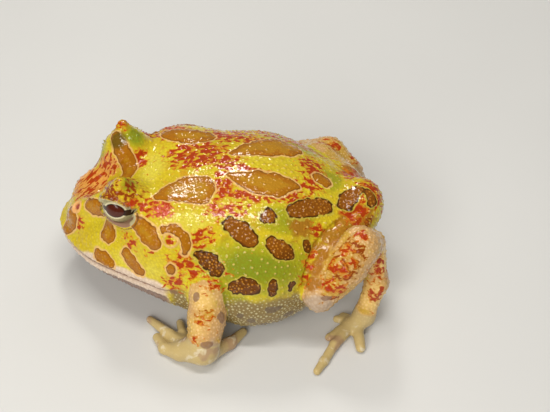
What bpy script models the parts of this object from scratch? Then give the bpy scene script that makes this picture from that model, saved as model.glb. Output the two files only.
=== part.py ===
"""Argentine horned frog: a still, life-size model of a young frog that sits on the floor.

The frog faces -Y, its left side is +X and up is +Z. Sizes below are in millimetres, in the
frog's own frame: x across from its midline, y along from the middle of its length, z up from
the floor. Each part is a closed solid, 0.3 mm clear of the next.
"""

import math

import bmesh
import bpy
import numpy as np
from mathutils import Matrix, Vector

MM = 0.001
GAP = 0.3

# The middle of the model's box in the frog's frame, which becomes the part's origin
MIDDLE_X = -0.666
MIDDLE_Y = 0.878

# The ends of the body
SNOUT_Y = -25.6
RUMP_Y = 25.3

# Stations along the body: (y, value). Half width, top and bottom are those of the tube
# that the two ends then round off.
HALF_WIDTH = [(-27, 11.5), (-23, 14.0), (-18, 15.4), (-12, 16.0), (-6, 16.8), (0, 17.4),
              (6, 18.5), (11, 18.5), (15, 17.2), (19.5, 15.4), (23, 15.2), (27, 15.0)]
BACK_HEIGHT = [(-27, 9.2), (-24, 12.4), (-20, 16.4), (-15, 19.4), (-9, 20.8), (-3, 21.4),
               (4, 22.2), (10, 22.5), (16, 22.3), (21, 21.6), (27, 20.5)]
BELLY_HEIGHT = [(-27, 4.0), (-22, 3.0), (-16, 2.6), (-10, 2.0), (-4, 0.6), (2, -0.6),
                (12, -0.8), (18, 0.0), (22, 3.0), (27, 8.0)]
WIDEST_HEIGHT = [(-27, 7.6), (-20, 8.6), (-12, 9.2), (-6, 9.0), (2, 8.2), (10, 8.2),
                 (16, 9.5), (21, 12.5), (27, 15.5)]
ROUNDNESS_ABOVE = [(-27, 2.1), (-14, 2.2), (-4, 2.1), (8, 2.05), (27, 2.0)]
ROUNDNESS_BELOW = [(-27, 2.2), (-10, 2.6), (0, 2.6), (6, 2.9), (12, 2.9), (27, 2.0)]

# The mouth: its line's height along the jaw, the corner where it ends, and the lips
MOUTH_HEIGHT = [(-27, 7.5), (-24, 7.8), (-19, 8.7), (-13, 9.3), (-8, 9.2), (-4, 8.6)]
MOUTH_CORNER_Y, MOUTH_FADE = -5.0, 3.0
LIP_RISE = 0.35
LIP_WIDTH = 0.7
LIP_OFFSET = 0.75

# The neck and hip cuts: where each plane lies at the body's middle height, and how far its
# top leans towards the head
MIDDLE_HEIGHT = 11.0
NECK_Y, NECK_LEAN = -3.4, 0.1
HIP_Y, HIP_LEAN = 12.6, -0.1
CUT_HALF_SIZE = 30.0

# The head's left side, mirrored for the right
EYE = (6.6, -14.9, 17.6)
EYE_RADIUS = 2.9
GAZE = (0.94, -0.1, 0.33)
LID_SLANT = (0.0, 0.96, -0.26)
EYE_HALF_LENGTH, EYE_OPEN_ABOVE, EYE_OPEN_BELOW = 2.7, 1.0, 1.9
LID_RIM, LID_RIM_PLACE, LID_RIM_WIDTH = 0.22, 0.3, 0.45
LID_CUT_START, LID_CUT_END = 0.3, 6.0
SNOUT_BALL, SNOUT_BALL_RADII = (0.0, -20.2, 10.3), (5.6, 4.1, 4.0)
BROW_BACK, BROW_BACK_RADIUS = (4.2, -18.4, 15.4), 1.6
BROW_FRONT, BROW_FRONT_RADIUS = (3.0, -22.0, 12.2), 1.2
SHOULDER_HUMP, SHOULDER_HUMP_RADII = (8.0, -6.8, 14.3), (6.0, 6.4, 5.6)
VENT_BUMP, VENT_BUMP_RADII = (0.0, 22.3, 16.2), (3.4, 2.7, 2.6)
NOSTRIL = (3.75, -22.2, 13.9)
NOSTRIL_RADIUS, NOSTRIL_STRETCH = 0.42, (1.0, 1.3, 0.9)
EARDRUM_Y, EARDRUM_Z, EARDRUM_RADIUS = -6.4, 17.2, 1.3
EARDRUM_GROOVE, EARDRUM_LIFT = 0.28, 0.05

# The domes of the lids, each as centre and radii. The right one reaches further forward.
LIDS = {
    1: ((5.9, -13.9, 17.3), (3.95, 3.8, 3.8)),
    -1: ((-5.9, -15.5, 17.4), (3.95, 4.2, 3.9)),
}

# The horns, each from its root on the lid to its tip. The left one is blunter than the right.
HORNS = {
    1: [((6.0, -15.0, 18.2), 3.0), ((6.3, -14.9, 21.5), 1.2)],
    -1: [((-6.0, -15.6, 18.4), 3.0), ((-6.8, -16.4, 22.3), 0.9)],
}
HORN_CUT_HEIGHT = 20.6
HORN_CUT_RADIUS = 4.4

# Limbs: joints in order, each with the radius of the flesh there. Fingers and toes are
# (x, y, radius) at each knuckle and lie on the floor, pressed into it by PAD_FLAT.
PAD_FLAT = 0.12
LEFT_ARM = {
    "upper_arm": [((10.5, -5.0, 8.0), 3.6), ((16.0, -0.6, 10.2), 2.8)],
    "forearm": [((16.0, -0.6, 10.2), 2.8), ((18.8, -0.5, 6.8), 2.7), ((20.8, -0.7, 4.5), 2.65)],
    "hand": [((21.5, -0.9, 2.75), 2.75), ((21.2, -3.8, 1.5), 1.7)],
}
LEFT_FINGERS = [
    [(18.8, -3.6, 0.95), (16.8, -4.4, 0.65), (14.7, -5.0, 0.55)],
    [(19.4, -4.4, 1.15), (17.4, -6.4, 0.8), (14.5, -9.8, 0.6)],
    [(21.3, -4.6, 1.3), (20.4, -6.8, 0.9), (18.1, -8.3, 0.65)],
    [(21.0, 0.4, 1.4), (18.6, 3.1, 0.95), (15.8, 5.0, 0.65)],
]
LEFT_LEG = {
    "thigh": [((5.8, 21.4, 12.9), 3.1), ((10.0, 18.0, 12.5), 2.95), ((14.6, 16.0, 9.4), 2.45)],
    "shank": [((15.1, 16.4, 9.2), 2.4), ((13.3, 18.7, 11.7), 2.7), ((12.1, 20.2, 13.6), 3.1),
              ((10.2, 22.0, 15.8), 2.9), ((8.0, 23.9, 14.4), 2.15)],
    "foot": [((7.6, 24.2, 13.4), 2.0), ((9.8, 25.4, 7.6), 1.7), ((12.0, 24.0, 2.2), 1.6),
             ((13.0, 22.6, 1.2), 1.2)],
}
LEFT_TOES = [
    [(11.9, 22.6, 0.8), (10.8, 20.8, 0.6)],
    [(12.2, 22.2, 0.8), (11.6, 19.8, 0.6)],
    [(12.8, 21.8, 0.9), (14.2, 20.2, 0.7), (15.6, 18.6, 0.6)],
    [(13.2, 21.9, 1.0), (17.2, 19.5, 0.8), (20.6, 17.9, 0.7), (22.6, 16.9, 0.62)],
    [(13.2, 23.0, 1.0), (17.4, 23.6, 0.75)],
]
# The right hind leg is drawn out further to the side than the left one
RIGHT_LEG = {
    "thigh": [((-6.5, 18.6, 12.6), 4.2), ((-12.2, 15.4, 12.2), 3.5), ((-16.2, 12.8, 10.6), 2.5)],
    "shank": [((-16.6, 13.0, 10.4), 2.5), ((-15.2, 17.0, 11.6), 3.1), ((-13.2, 20.5, 11.0), 2.1)],
    "foot": [((-13.4, 21.1, 10.2), 2.0), ((-15.6, 22.2, 6.0), 1.7), ((-17.8, 20.8, 2.2), 1.6),
             ((-18.8, 19.4, 1.2), 1.2)],
}
RIGHT_TOES = [
    [(-17.7, 19.4, 0.8), (-16.4, 17.6, 0.6)],
    [(-18.0, 19.0, 0.8), (-17.6, 16.2, 0.6)],
    [(-18.6, 18.6, 0.9), (-19.8, 15.4, 0.6)],
    [(-19.0, 18.7, 1.0), (-22.0, 15.0, 0.8), (-24.0, 11.9, 0.7), (-25.0, 10.0, 0.62)],
    [(-19.3, 19.7, 1.0), (-23.4, 18.8, 0.75)],
]

# How softly the flesh of two parts runs together
BLEND_FINGER = 0.4
BLEND_PALM = 0.8
BLEND_LIMB = 1.2
BLEND_LID = 1.5
BLEND_HORN = 1.0
BLEND_BROW = 2.0
BLEND_HUMP = 3.0

# The ball that the trunk is drawn from: half its width, length and height
ROUGH_BODY = (15.0, 24.0, 9.5)

# Where the middle of each piece of the cut body lies
PIECE_MIDDLES = {
    "head": (0, -16, 14), "lower_jaw": (0, -15, 5), "torso": (0, 4, 11), "rump": (0, 19, 11),
    "horn_left": (6.5, -16, 22), "horn_right": (-6.5, -16, 22),
}
SCRAP_VOLUME = 0.5

# Voxel sizes for fusing rough shapes, and the triangles that each solid keeps
BODY_VOXEL = 0.4
LIMB_VOXEL = 0.25
BODY_TRIANGLES = 5200
CUTTER_TRIANGLES = 2400
LIMB_TRIANGLES = {"upper_arm": 300, "forearm": 360, "hand": 860, "thigh": 360, "shank": 420,
                  "foot": 1000}

COLOURS = {
    "head": ("#D9C63A", 0.3), "lower_jaw": ("#DCCBC2", 0.35), "torso": ("#B7BE3C", 0.3),
    "rump": ("#C98A2C", 0.3), "horn": ("#C07A20", 0.3), "eye": ("#4A160C", 0.08),
    "upper_arm": ("#D8B84A", 0.3), "forearm": ("#D6A24A", 0.3), "hand": ("#E2D6BC", 0.35),
    "thigh": ("#C8962E", 0.3), "shank": ("#D88A50", 0.3), "foot": ("#E4DC9A", 0.35),
}


def smooth_curve(stations):
    """A natural cubic through (y, value) stations, as a fine table of both."""
    along = np.array([s[0] for s in stations], float)
    value = np.array([s[1] for s in stations], float)
    step = np.diff(along)
    count = len(along)
    matrix = np.eye(count)
    right = np.zeros(count)
    for i in range(1, count - 1):
        matrix[i, i - 1:i + 2] = step[i - 1], 2 * (step[i - 1] + step[i]), step[i]
        right[i] = 6 * ((value[i + 1] - value[i]) / step[i] - (value[i] - value[i - 1]) / step[i - 1])
    bend = np.linalg.solve(matrix, right)
    fine = np.linspace(along[0], along[-1], 1025)
    i = np.clip(np.searchsorted(along, fine) - 1, 0, count - 2)
    left, ahead = along[i + 1] - fine, fine - along[i]
    cubic = (bend[i] * left**3 + bend[i + 1] * ahead**3) / (6 * step[i])
    straight = (value[i] / step[i] - bend[i] * step[i] / 6) * left
    straight += (value[i + 1] / step[i] - bend[i + 1] * step[i] / 6) * ahead
    return fine, cubic + straight


def read(curve, y):
    return np.interp(y, curve[0], curve[1])


HALF_WIDTH_CURVE = smooth_curve(HALF_WIDTH)
BACK_CURVE = smooth_curve(BACK_HEIGHT)
BELLY_CURVE = smooth_curve(BELLY_HEIGHT)
WIDEST_CURVE = smooth_curve(WIDEST_HEIGHT)
ABOVE_CURVE = smooth_curve(ROUNDNESS_ABOVE)
BELOW_CURVE = smooth_curve(ROUNDNESS_BELOW)
MOUTH_CURVE = smooth_curve(MOUTH_HEIGHT)


def soft_min(a, b, width):
    share = np.clip(0.5 + 0.5 * (b - a) / width, 0.0, 1.0)
    return b + (a - b) * share - width * share * (1.0 - share)


def round_cone(p, start, end, start_radius, end_radius):
    """Distance from points to a cone with a ball at each end."""
    start, end = np.array(start, float), np.array(end, float)
    axis = end - start
    length2 = axis @ axis
    narrowing = start_radius - end_radius
    slope2 = max(length2 - narrowing**2, 1e-6)
    offset = p - start
    along = offset @ axis
    beyond = along - length2
    across = offset * length2 - along[:, None] * axis
    across2 = np.einsum("ij,ij->i", across, across)
    along2, beyond2 = along**2 * length2, beyond**2 * length2
    edge = np.sign(narrowing) * narrowing**2 * across2
    past_end = np.sign(beyond) * slope2 * beyond2 > edge
    before_start = np.sign(along) * slope2 * along2 < edge
    side = (np.sqrt(across2 * slope2 / length2) + along * narrowing) / length2 - start_radius
    near_start = np.sqrt(across2 + along2) / length2 - start_radius
    near_end = np.sqrt(across2 + beyond2) / length2 - end_radius
    return np.where(past_end, near_end, np.where(before_start, near_start, side))


def ellipsoid(p, centre, radii):
    q = (p - np.array(centre)) / np.array(radii)
    inner = np.linalg.norm(q, axis=1)
    outer = np.linalg.norm(q / np.array(radii), axis=1)
    return inner * (inner - 1.0) / np.maximum(outer, 1e-6)


def chain(p, joints, blend):
    distance = None
    for (a, ra), (b, rb) in zip(joints[:-1], joints[1:]):
        piece = round_cone(p, a, b, ra, rb)
        distance = piece if distance is None else soft_min(distance, piece, blend)
    return distance


def trunk_ratio(p):
    """1 on the surface of the plain trunk and head, less inside and more outside."""
    x, y, z = p[:, 0], p[:, 1], p[:, 2]
    middle = read(WIDEST_CURVE, y)
    above = z > middle
    power = np.where(above, read(ABOVE_CURVE, y), read(BELOW_CURVE, y))
    reach = np.where(above, read(BACK_CURVE, y) - middle, middle - read(BELLY_CURVE, y))
    upright = np.abs(z - middle) / reach
    section = (np.abs(x / read(HALF_WIDTH_CURVE, y)) ** power + upright**power + 1e-9) ** (1 / power)
    return np.sqrt(section**2 + np.where(y < 0, y / SNOUT_Y, y / RUMP_Y) ** 2)


def slope_of(field, p, step=0.05):
    slope = np.zeros_like(p)
    for i in range(3):
        ahead, behind = p.copy(), p.copy()
        ahead[:, i] += step
        behind[:, i] -= step
        slope[:, i] = (field(ahead) - field(behind)) / (2 * step)
    return slope


def unit(v):
    v = np.array(v, float)
    return v / np.linalg.norm(v)


GAZE_AXIS = unit(GAZE)
LID_AXIS = unit(np.array(LID_SLANT) - GAZE_AXIS * (np.array(LID_SLANT) @ GAZE_AXIS))
LID_UP = np.cross(GAZE_AXIS, LID_AXIS)


def lid_edge(q):
    """How far points lie outside the almond between the lids, and how far out along the gaze."""
    offset = q - np.array(EYE)
    out, along, over = offset @ GAZE_AXIS, offset @ LID_AXIS, offset @ LID_UP
    tall = np.where(over > 0, EYE_OPEN_ABOVE, EYE_OPEN_BELOW)
    ratio = np.sqrt((along / EYE_HALF_LENGTH) ** 2 + (over / tall) ** 2)
    return (ratio - 1.0) * (EYE_OPEN_ABOVE + EYE_OPEN_BELOW) / 2, out


def body_field(p):
    """Distance to the skin of the head and trunk, in millimetres."""
    slope = np.maximum(np.linalg.norm(slope_of(trunk_ratio, p), axis=1), 1e-4)
    distance = (trunk_ratio(p) - 1.0) / slope
    q = p.copy()
    q[:, 0] = np.abs(q[:, 0])
    distance = soft_min(distance, ellipsoid(q, SHOULDER_HUMP, SHOULDER_HUMP_RADII), BLEND_HUMP)
    for centre, radii in LIDS.values():
        distance = soft_min(distance, ellipsoid(p, centre, radii), BLEND_LID)
    distance = soft_min(distance, ellipsoid(q, VENT_BUMP, VENT_BUMP_RADII), BLEND_HUMP)
    for (root, root_radius), (tip, tip_radius) in HORNS.values():
        horn = round_cone(p, root, tip, root_radius, tip_radius)
        distance = soft_min(distance, horn, BLEND_HORN)
    distance = soft_min(distance, ellipsoid(q, SNOUT_BALL, SNOUT_BALL_RADII), BLEND_BROW)
    brow = round_cone(q, BROW_BACK, BROW_FRONT, BROW_BACK_RADIUS, BROW_FRONT_RADIUS)
    distance = soft_min(distance, brow, BLEND_BROW)
    edge, out = lid_edge(q)
    rim = np.exp(-((edge - LID_RIM_PLACE) / LID_RIM_WIDTH) ** 2)
    distance = distance - LID_RIM * rim * (out > 0)
    below = p[:, 2] - read(MOUTH_CURVE, p[:, 1])
    jaw = np.clip((MOUTH_CORNER_Y - p[:, 1]) / MOUTH_FADE, 0.0, 1.0)
    lips = np.exp(-((np.abs(below) - LIP_OFFSET) / LIP_WIDTH) ** 2)
    return distance - LIP_RISE * jaw * lips


def limb_field(joints, digits, blend):
    """A field of one limb part, with its fingers or toes."""

    def field(p):
        distance = chain(p, joints, blend)
        for digit in digits:
            distance = soft_min(distance, chain(p, digit, BLEND_FINGER), BLEND_PALM)
        return distance

    return field


def frame_along(start, end):
    direction = Vector(end) - Vector(start)
    turn = direction.to_track_quat("Z", "Y").to_matrix().to_4x4()
    return Matrix.Translation((Vector(start) + Vector(end)) / 2) @ turn, direction.length


def rough_chain(bm, joints, grow=0.0):
    """Balls and cones that overlap along a chain of joints."""
    for centre, radius in joints:
        bmesh.ops.create_icosphere(bm, subdivisions=3, radius=radius + grow,
                                   matrix=Matrix.Translation(centre))
    for (a, ra), (b, rb) in zip(joints[:-1], joints[1:]):
        place, length = frame_along(a, b)
        bmesh.ops.create_cone(bm, cap_ends=True, segments=24, radius1=ra + grow,
                              radius2=rb + grow, depth=length, matrix=place)


def rough_body(bm, grow=0.0):
    """A stretched ball for the trunk, with balls and cones for what stands out of it."""
    size = Matrix.Diagonal([half + grow for half in ROUGH_BODY] + [1.0])
    made = bmesh.ops.create_icosphere(bm, subdivisions=5, radius=1.0,
                                      matrix=Matrix.Translation((0, 0, MIDDLE_HEIGHT)) @ size)
    points = np.array([v.co[:] for v in made["verts"]])
    for vertex, place in zip(made["verts"], slide(points, body_field, grow, 8)):
        vertex.co = place
    for horn in HORNS.values():
        rough_chain(bm, horn, grow)


def slide(points, field, level, rounds=4):
    """Moves points along the field's slope onto its surface at a level."""
    for _ in range(rounds):
        slope = slope_of(field, points)
        steep = np.maximum(np.einsum("ij,ij->i", slope, slope), 0.04)
        step = (field(points) - level) / steep
        points = points - np.clip(step, -2.0, 2.0)[:, None] * slope
    return points


def mesh_points(mesh):
    points = np.empty(len(mesh.vertices) * 3)
    mesh.vertices.foreach_get("co", points)
    return points.reshape(-1, 3)


def set_points(mesh, points):
    mesh.vertices.foreach_set("co", points.ravel())
    mesh.update()


def settle(obj, *modifiers):
    """Applies modifiers, given as (type, settings), to an object's mesh."""
    for kind, settings in modifiers:
        modifier = obj.modifiers.new(kind.title(), kind)
        for name, value in settings.items():
            setattr(modifier, name, value)
    graph = bpy.context.evaluated_depsgraph_get()
    mesh = bpy.data.meshes.new_from_object(obj.evaluated_get(graph))
    obj.modifiers.clear()
    old = obj.data
    obj.data = mesh
    bpy.data.meshes.remove(old)
    return obj


def new_object(name, bm, collection):
    mesh = bpy.data.meshes.new(name)
    bm.to_mesh(mesh)
    bm.free()
    obj = bpy.data.objects.new(name, mesh)
    collection.objects.link(obj)
    return obj


def moulded(name, collection, rough, field, level, voxel, triangles):
    """A closed solid: rough shapes are fused, laid onto the field's surface and thinned out."""
    bm = bmesh.new()
    rough(bm, level)
    obj = new_object(name, bm, collection)
    settle(obj, ("REMESH", {"mode": "VOXEL", "voxel_size": voxel}))
    set_points(obj.data, slide(mesh_points(obj.data), field, level))
    settle(obj, ("TRIANGULATE", {}))
    ratio = min(1.0, triangles / len(obj.data.polygons))
    settle(obj, ("DECIMATE", {"ratio": ratio, "use_collapse_triangulate": True}))
    set_points(obj.data, slide(mesh_points(obj.data), field, level, 2))
    return obj


def cut(obj, cutter, operation="DIFFERENCE"):
    settle(obj, ("BOOLEAN", {"operation": operation, "object": cutter, "solver": "EXACT"}))
    return obj


def islands(bm):
    """The separate closed surfaces of a mesh, as lists of faces."""
    left = set(bm.faces)
    while left:
        queue = [left.pop()]
        found = list(queue)
        while queue:
            for edge in queue.pop().edges:
                for face in edge.link_faces:
                    if face in left:
                        left.discard(face)
                        found.append(face)
                        queue.append(face)
        yield found


def face_volume(faces):
    total = 0.0
    for face in faces:
        corners = [v.co for v in face.verts]
        for a, b in zip(corners[1:-1], corners[2:]):
            total += corners[0].dot(a.cross(b)) / 6.0
    return total


def keep_largest(obj):
    bm = bmesh.new()
    bm.from_mesh(obj.data)
    pieces = sorted(islands(bm), key=lambda faces: abs(face_volume(faces)), reverse=True)
    spare = [face for piece in pieces[1:] for face in piece]
    bmesh.ops.delete(bm, geom=spare, context="FACES")
    bm.to_mesh(obj.data)
    bm.free()
    return obj


def part_pieces(obj, collection):
    """Splits a cut body into its pieces, each named by the place nearest its middle."""
    bm = bmesh.new()
    bm.from_mesh(obj.data)
    bm.faces.ensure_lookup_table()
    made = {}
    for faces in islands(bm):
        if abs(face_volume(faces)) < SCRAP_VOLUME:
            continue
        corners = np.array([v.co[:] for face in faces for v in face.verts])
        middle = (corners.min(axis=0) + corners.max(axis=0)) / 2
        name = min(PIECE_MIDDLES, key=lambda key: np.linalg.norm(PIECE_MIDDLES[key] - middle))
        made[name] = {face.index for face in faces}
    bm.free()
    for name, kept in made.items():
        piece = bmesh.new()
        piece.from_mesh(obj.data)
        piece.faces.ensure_lookup_table()
        spare = [face for face in piece.faces if face.index not in kept]
        bmesh.ops.delete(piece, geom=spare, context="FACES")
        new_object(name, piece, collection)
    bpy.data.objects.remove(obj)


def slab(name, y, lean, cutters):
    """A thin upright wall across the body, leaning towards the head at its top."""
    bm = bmesh.new()
    size = Matrix.Diagonal((2 * CUT_HALF_SIZE, GAP, 2 * CUT_HALF_SIZE, 1.0))
    bmesh.ops.create_cube(bm, size=1.0, matrix=size)
    obj = new_object(name, bm, cutters)
    turn = Matrix.Rotation(math.atan(lean), 4, "X")
    obj.data.transform(Matrix.Translation((0.0, y, MIDDLE_HEIGHT)) @ turn)
    return obj


def mouth_sheet(cutters):
    """A thin sheet at the height of the mouth's line, from in front of the snout to the neck cut."""
    bm = bmesh.new()
    back = NECK_Y + (MIDDLE_HEIGHT - read(MOUTH_CURVE, NECK_Y)) * NECK_LEAN
    front = SNOUT_Y - 2.0
    bmesh.ops.create_grid(bm, x_segments=1, y_segments=24, size=0.5)
    for vertex in bm.verts:
        y = front + (vertex.co.y + 0.5) * (back - front)
        vertex.co = (vertex.co.x * 2 * CUT_HALF_SIZE, y, float(read(MOUTH_CURVE, y)))
    obj = new_object("mouth_cut", bm, cutters)
    return settle(obj, ("SOLIDIFY", {"thickness": GAP, "offset": 0.0}))


def lid_prism(name, side, inset, cutters):
    """The almond between the lids, drawn out along the gaze from behind the eye's middle."""
    bm = bmesh.new()
    bmesh.ops.create_cone(bm, cap_ends=True, segments=20, radius1=1.0, radius2=1.0, depth=1.0)
    start, end = LID_CUT_START + inset, LID_CUT_END
    for vertex in bm.verts:
        along = vertex.co.x * (EYE_HALF_LENGTH - inset)
        tall = EYE_OPEN_ABOVE if vertex.co.y > 0 else EYE_OPEN_BELOW
        over = vertex.co.y * (tall - inset)
        out = start + (vertex.co.z + 0.5) * (end - start)
        place = np.array(EYE) + along * LID_AXIS + over * LID_UP + out * GAZE_AXIS
        vertex.co = (side * place[0], place[1], place[2])
    bmesh.ops.recalc_face_normals(bm, faces=bm.faces)
    return new_object(name, bm, cutters)


def surface_x(y, z):
    """How far out the skin of the body lies on the left at a height."""
    out = np.linspace(4.0, 22.0, 181)
    field = body_field(np.stack([out, np.full(181, y), np.full(181, z)], axis=1))
    return float(np.interp(0.0, field, out))


def eardrum_ring(side, cutters):
    """A ring let into the skin around the eardrum."""
    x = surface_x(EARDRUM_Y, EARDRUM_Z)
    place = np.array([[x, EARDRUM_Y, EARDRUM_Z]])
    normal = unit(slope_of(body_field, place)[0])
    bpy.ops.mesh.primitive_torus_add(major_segments=16, minor_segments=6,
                                     major_radius=EARDRUM_RADIUS, minor_radius=EARDRUM_GROOVE)
    obj = bpy.context.object
    obj.name = f"eardrum_cut_{side}"
    turn = Vector((side * normal[0], normal[1], normal[2])).to_track_quat("Z", "Y").to_matrix()
    where = Vector((side * x, EARDRUM_Y, EARDRUM_Z)) + Vector(turn.col[2]) * EARDRUM_LIFT
    obj.data.transform(Matrix.Translation(where) @ turn.to_4x4())
    obj.location = (0.0, 0.0, 0.0)
    for collection in obj.users_collection:
        collection.objects.unlink(obj)
    cutters.objects.link(obj)
    return obj


def nostril_pit(side, cutters):
    bm = bmesh.new()
    place = np.array([[NOSTRIL[0], NOSTRIL[1], NOSTRIL[2]]])
    place = slide(place, body_field, 0.0, 6)[0]
    size = Matrix.Diagonal([*NOSTRIL_STRETCH, 1.0])
    where = Matrix.Translation((side * place[0], place[1], place[2]))
    bmesh.ops.create_uvsphere(bm, u_segments=10, v_segments=6, radius=NOSTRIL_RADIUS,
                              matrix=where @ size)
    return new_object(f"nostril_cut_{side}", bm, cutters)


def horn_slab(side, cutters):
    bm = bmesh.new()
    root = HORNS[side][0][0]
    where = Matrix.Translation((root[0], root[1], HORN_CUT_HEIGHT))
    bmesh.ops.create_cone(bm, cap_ends=True, segments=24, radius1=HORN_CUT_RADIUS,
                          radius2=HORN_CUT_RADIUS, depth=GAP, matrix=where)
    return new_object(f"horn_cut_{side}", bm, cutters)


def build_body(parts, cutters):
    """The head, trunk and jaw, made whole and parted with thin cuts."""
    body = moulded("body", parts, rough_body, body_field, 0.0, BODY_VOXEL, BODY_TRIANGLES)
    for side in (1, -1):
        for cutter in (lid_prism(f"lid_cut_{side}", side, 0.0, cutters),
                       eardrum_ring(side, cutters), nostril_pit(side, cutters),
                       horn_slab(side, cutters)):
            cut(body, cutter)
    cut(body, slab("neck_cut", NECK_Y, NECK_LEAN, cutters))
    cut(body, slab("hip_cut", HIP_Y, HIP_LEAN, cutters))
    cut(body, mouth_sheet(cutters))
    part_pieces(body, parts)


def build_eye(side, name, parts, cutters):
    """The part of the eyeball that the lids leave open."""
    bm = bmesh.new()
    bmesh.ops.create_uvsphere(bm, u_segments=28, v_segments=18, radius=EYE_RADIUS,
                              matrix=Matrix.Translation((side * EYE[0], EYE[1], EYE[2])))
    eye = new_object(name, bm, parts)
    cut(eye, lid_prism(f"eye_shape_{side}", side, GAP, cutters), "INTERSECT")
    return keep_largest(eye)


def mirrored(joints):
    return [((-c[0], c[1], c[2]), r) for c, r in joints]


def on_floor(digits, side=1):
    """Chains of joints for fingers or toes that lie on the floor."""
    return [[((side * x, y, r - PAD_FLAT), r) for x, y, r in digit] for digit in digits]


def build_limb(side_name, shape, digits, body_cutter, parts, cutters):
    """One limb, its parts in order from the body out, each cut clear of those before it."""
    earlier = [body_cutter]
    for name, joints in shape.items():
        ends = digits if name in ("hand", "foot") else []
        field = limb_field(joints, ends, BLEND_LIMB)

        def rough(bm, grow, joints=joints, ends=ends):
            rough_chain(bm, joints, grow)
            for digit in ends:
                rough_chain(bm, digit, grow)

        full = f"{name}_{side_name}"
        count = LIMB_TRIANGLES[name]
        part = moulded(full, parts, rough, field, 0.0, LIMB_VOXEL, count)
        for cutter in earlier:
            cut(part, cutter)
        keep_largest(part)
        if name not in ("hand", "foot"):
            earlier.append(moulded(f"{full}_cutter", cutters, rough, field, GAP, LIMB_VOXEL, count))


def level_feet(parts, cutters):
    """Cuts every part off at the floor, which leaves small flats where it rests."""
    bm = bmesh.new()
    bmesh.ops.create_cube(bm, size=100.0, matrix=Matrix.Translation((0, 0, -50.0)))
    floor = new_object("floor_cut", bm, cutters)
    for obj in list(parts.objects):
        if mesh_points(obj.data)[:, 2].min() < 0.0:
            keep_largest(cut(obj, floor))


def linear(hexcode):
    channels = [int(hexcode[i:i + 2], 16) / 255 for i in (1, 3, 5)]
    return [c / 12.92 if c <= 0.04045 else ((c + 0.055) / 1.055) ** 2.4 for c in channels] + [1.0]


def finish(obj):
    """Gives a part its material and its place in the part's own frame, in metres."""
    kind = obj.name.replace("_left", "").replace("_right", "")
    colour, roughness = COLOURS[kind]
    material = bpy.data.materials.new(f"{obj.name}_finish")
    material.use_nodes = True
    shader = material.node_tree.nodes["Principled BSDF"]
    shader.inputs["Base Color"].default_value = linear(colour)
    shader.inputs["Roughness"].default_value = roughness
    shader.inputs["Metallic"].default_value = 0.0
    obj.data.materials.clear()
    obj.data.materials.append(material)
    shift = Matrix.Translation((-MIDDLE_X, -MIDDLE_Y, 0.0))
    obj.data.transform(Matrix.Scale(MM, 4) @ shift)
    obj.data.shade_smooth()
    obj.data.set_sharp_from_angle(angle=math.radians(40))


def main():
    for obj in list(bpy.data.objects):
        bpy.data.objects.remove(obj)
    parts = bpy.data.collections.new("horned_frog")
    cutters = bpy.data.collections.new("cutters")
    for collection in (parts, cutters):
        bpy.context.scene.collection.children.link(collection)
    build_body(parts, cutters)
    for side, side_name in ((1, "left"), (-1, "right")):
        build_eye(side, f"eye_{side_name}", parts, cutters)
    body_cutter = moulded("body_cutter", cutters, rough_body, body_field, GAP, BODY_VOXEL,
                          CUTTER_TRIANGLES)
    right_arm = {name: mirrored(joints) for name, joints in LEFT_ARM.items()}
    build_limb("left", LEFT_ARM, on_floor(LEFT_FINGERS), body_cutter, parts, cutters)
    build_limb("right", right_arm, on_floor(LEFT_FINGERS, -1), body_cutter, parts, cutters)
    build_limb("left", LEFT_LEG, on_floor(LEFT_TOES), body_cutter, parts, cutters)
    build_limb("right", RIGHT_LEG, on_floor(RIGHT_TOES), body_cutter, parts, cutters)
    level_feet(parts, cutters)
    for obj in parts.objects:
        finish(obj)
    for obj in cutters.objects:
        obj.hide_render = True
        obj.display_type = "WIRE"
        obj.data.transform(Matrix.Scale(MM, 4))


main()
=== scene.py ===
"""Looks of a still, life-size model of a young argentine horned frog.

One wet, granular skin covers every part of flesh, with the lids, lips, folds, nostrils, eardrums
and raised spots modelled in it, and two glossy eyes sit between the lids. Sizes are in
millimetres in the frog's own frame (x across from its midline to its left, y along towards its
rump, z up from the floor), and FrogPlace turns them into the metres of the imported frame.
"""

from __future__ import annotations

import logging
import math
from dataclasses import dataclass
from enum import Enum
from typing import Any, Callable, Mapping, Sequence

import bmesh
import bpy
import numpy as np
from mathutils import Matrix, Vector
from mathutils.kdtree import KDTree

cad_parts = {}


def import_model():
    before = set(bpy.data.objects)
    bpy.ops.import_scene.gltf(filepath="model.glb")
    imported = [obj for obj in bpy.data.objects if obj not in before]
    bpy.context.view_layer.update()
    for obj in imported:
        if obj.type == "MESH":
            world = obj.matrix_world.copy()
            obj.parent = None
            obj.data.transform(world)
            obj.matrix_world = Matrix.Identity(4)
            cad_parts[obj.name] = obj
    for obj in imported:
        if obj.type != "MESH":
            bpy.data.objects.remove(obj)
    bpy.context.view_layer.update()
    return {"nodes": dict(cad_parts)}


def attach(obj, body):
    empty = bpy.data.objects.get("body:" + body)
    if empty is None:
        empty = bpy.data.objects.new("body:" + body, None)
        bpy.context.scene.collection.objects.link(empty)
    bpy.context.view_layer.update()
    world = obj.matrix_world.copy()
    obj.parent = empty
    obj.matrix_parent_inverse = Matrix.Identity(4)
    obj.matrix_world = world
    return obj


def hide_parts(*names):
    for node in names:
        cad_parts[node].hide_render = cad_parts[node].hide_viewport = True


log = logging.getLogger("horned_frog")

Points = np.ndarray
Values = np.ndarray
Triple = tuple[float, float, float]
Span = tuple[float, float]
Joint = tuple[Triple, float]
Digit = Sequence[Triple]
SpotPath = tuple[tuple[float, float, float, float], ...]
Field = Callable[[Points], Values]

MM = 0.001
IMAGE_WIDTH, IMAGE_HEIGHT = 550, 412


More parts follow.
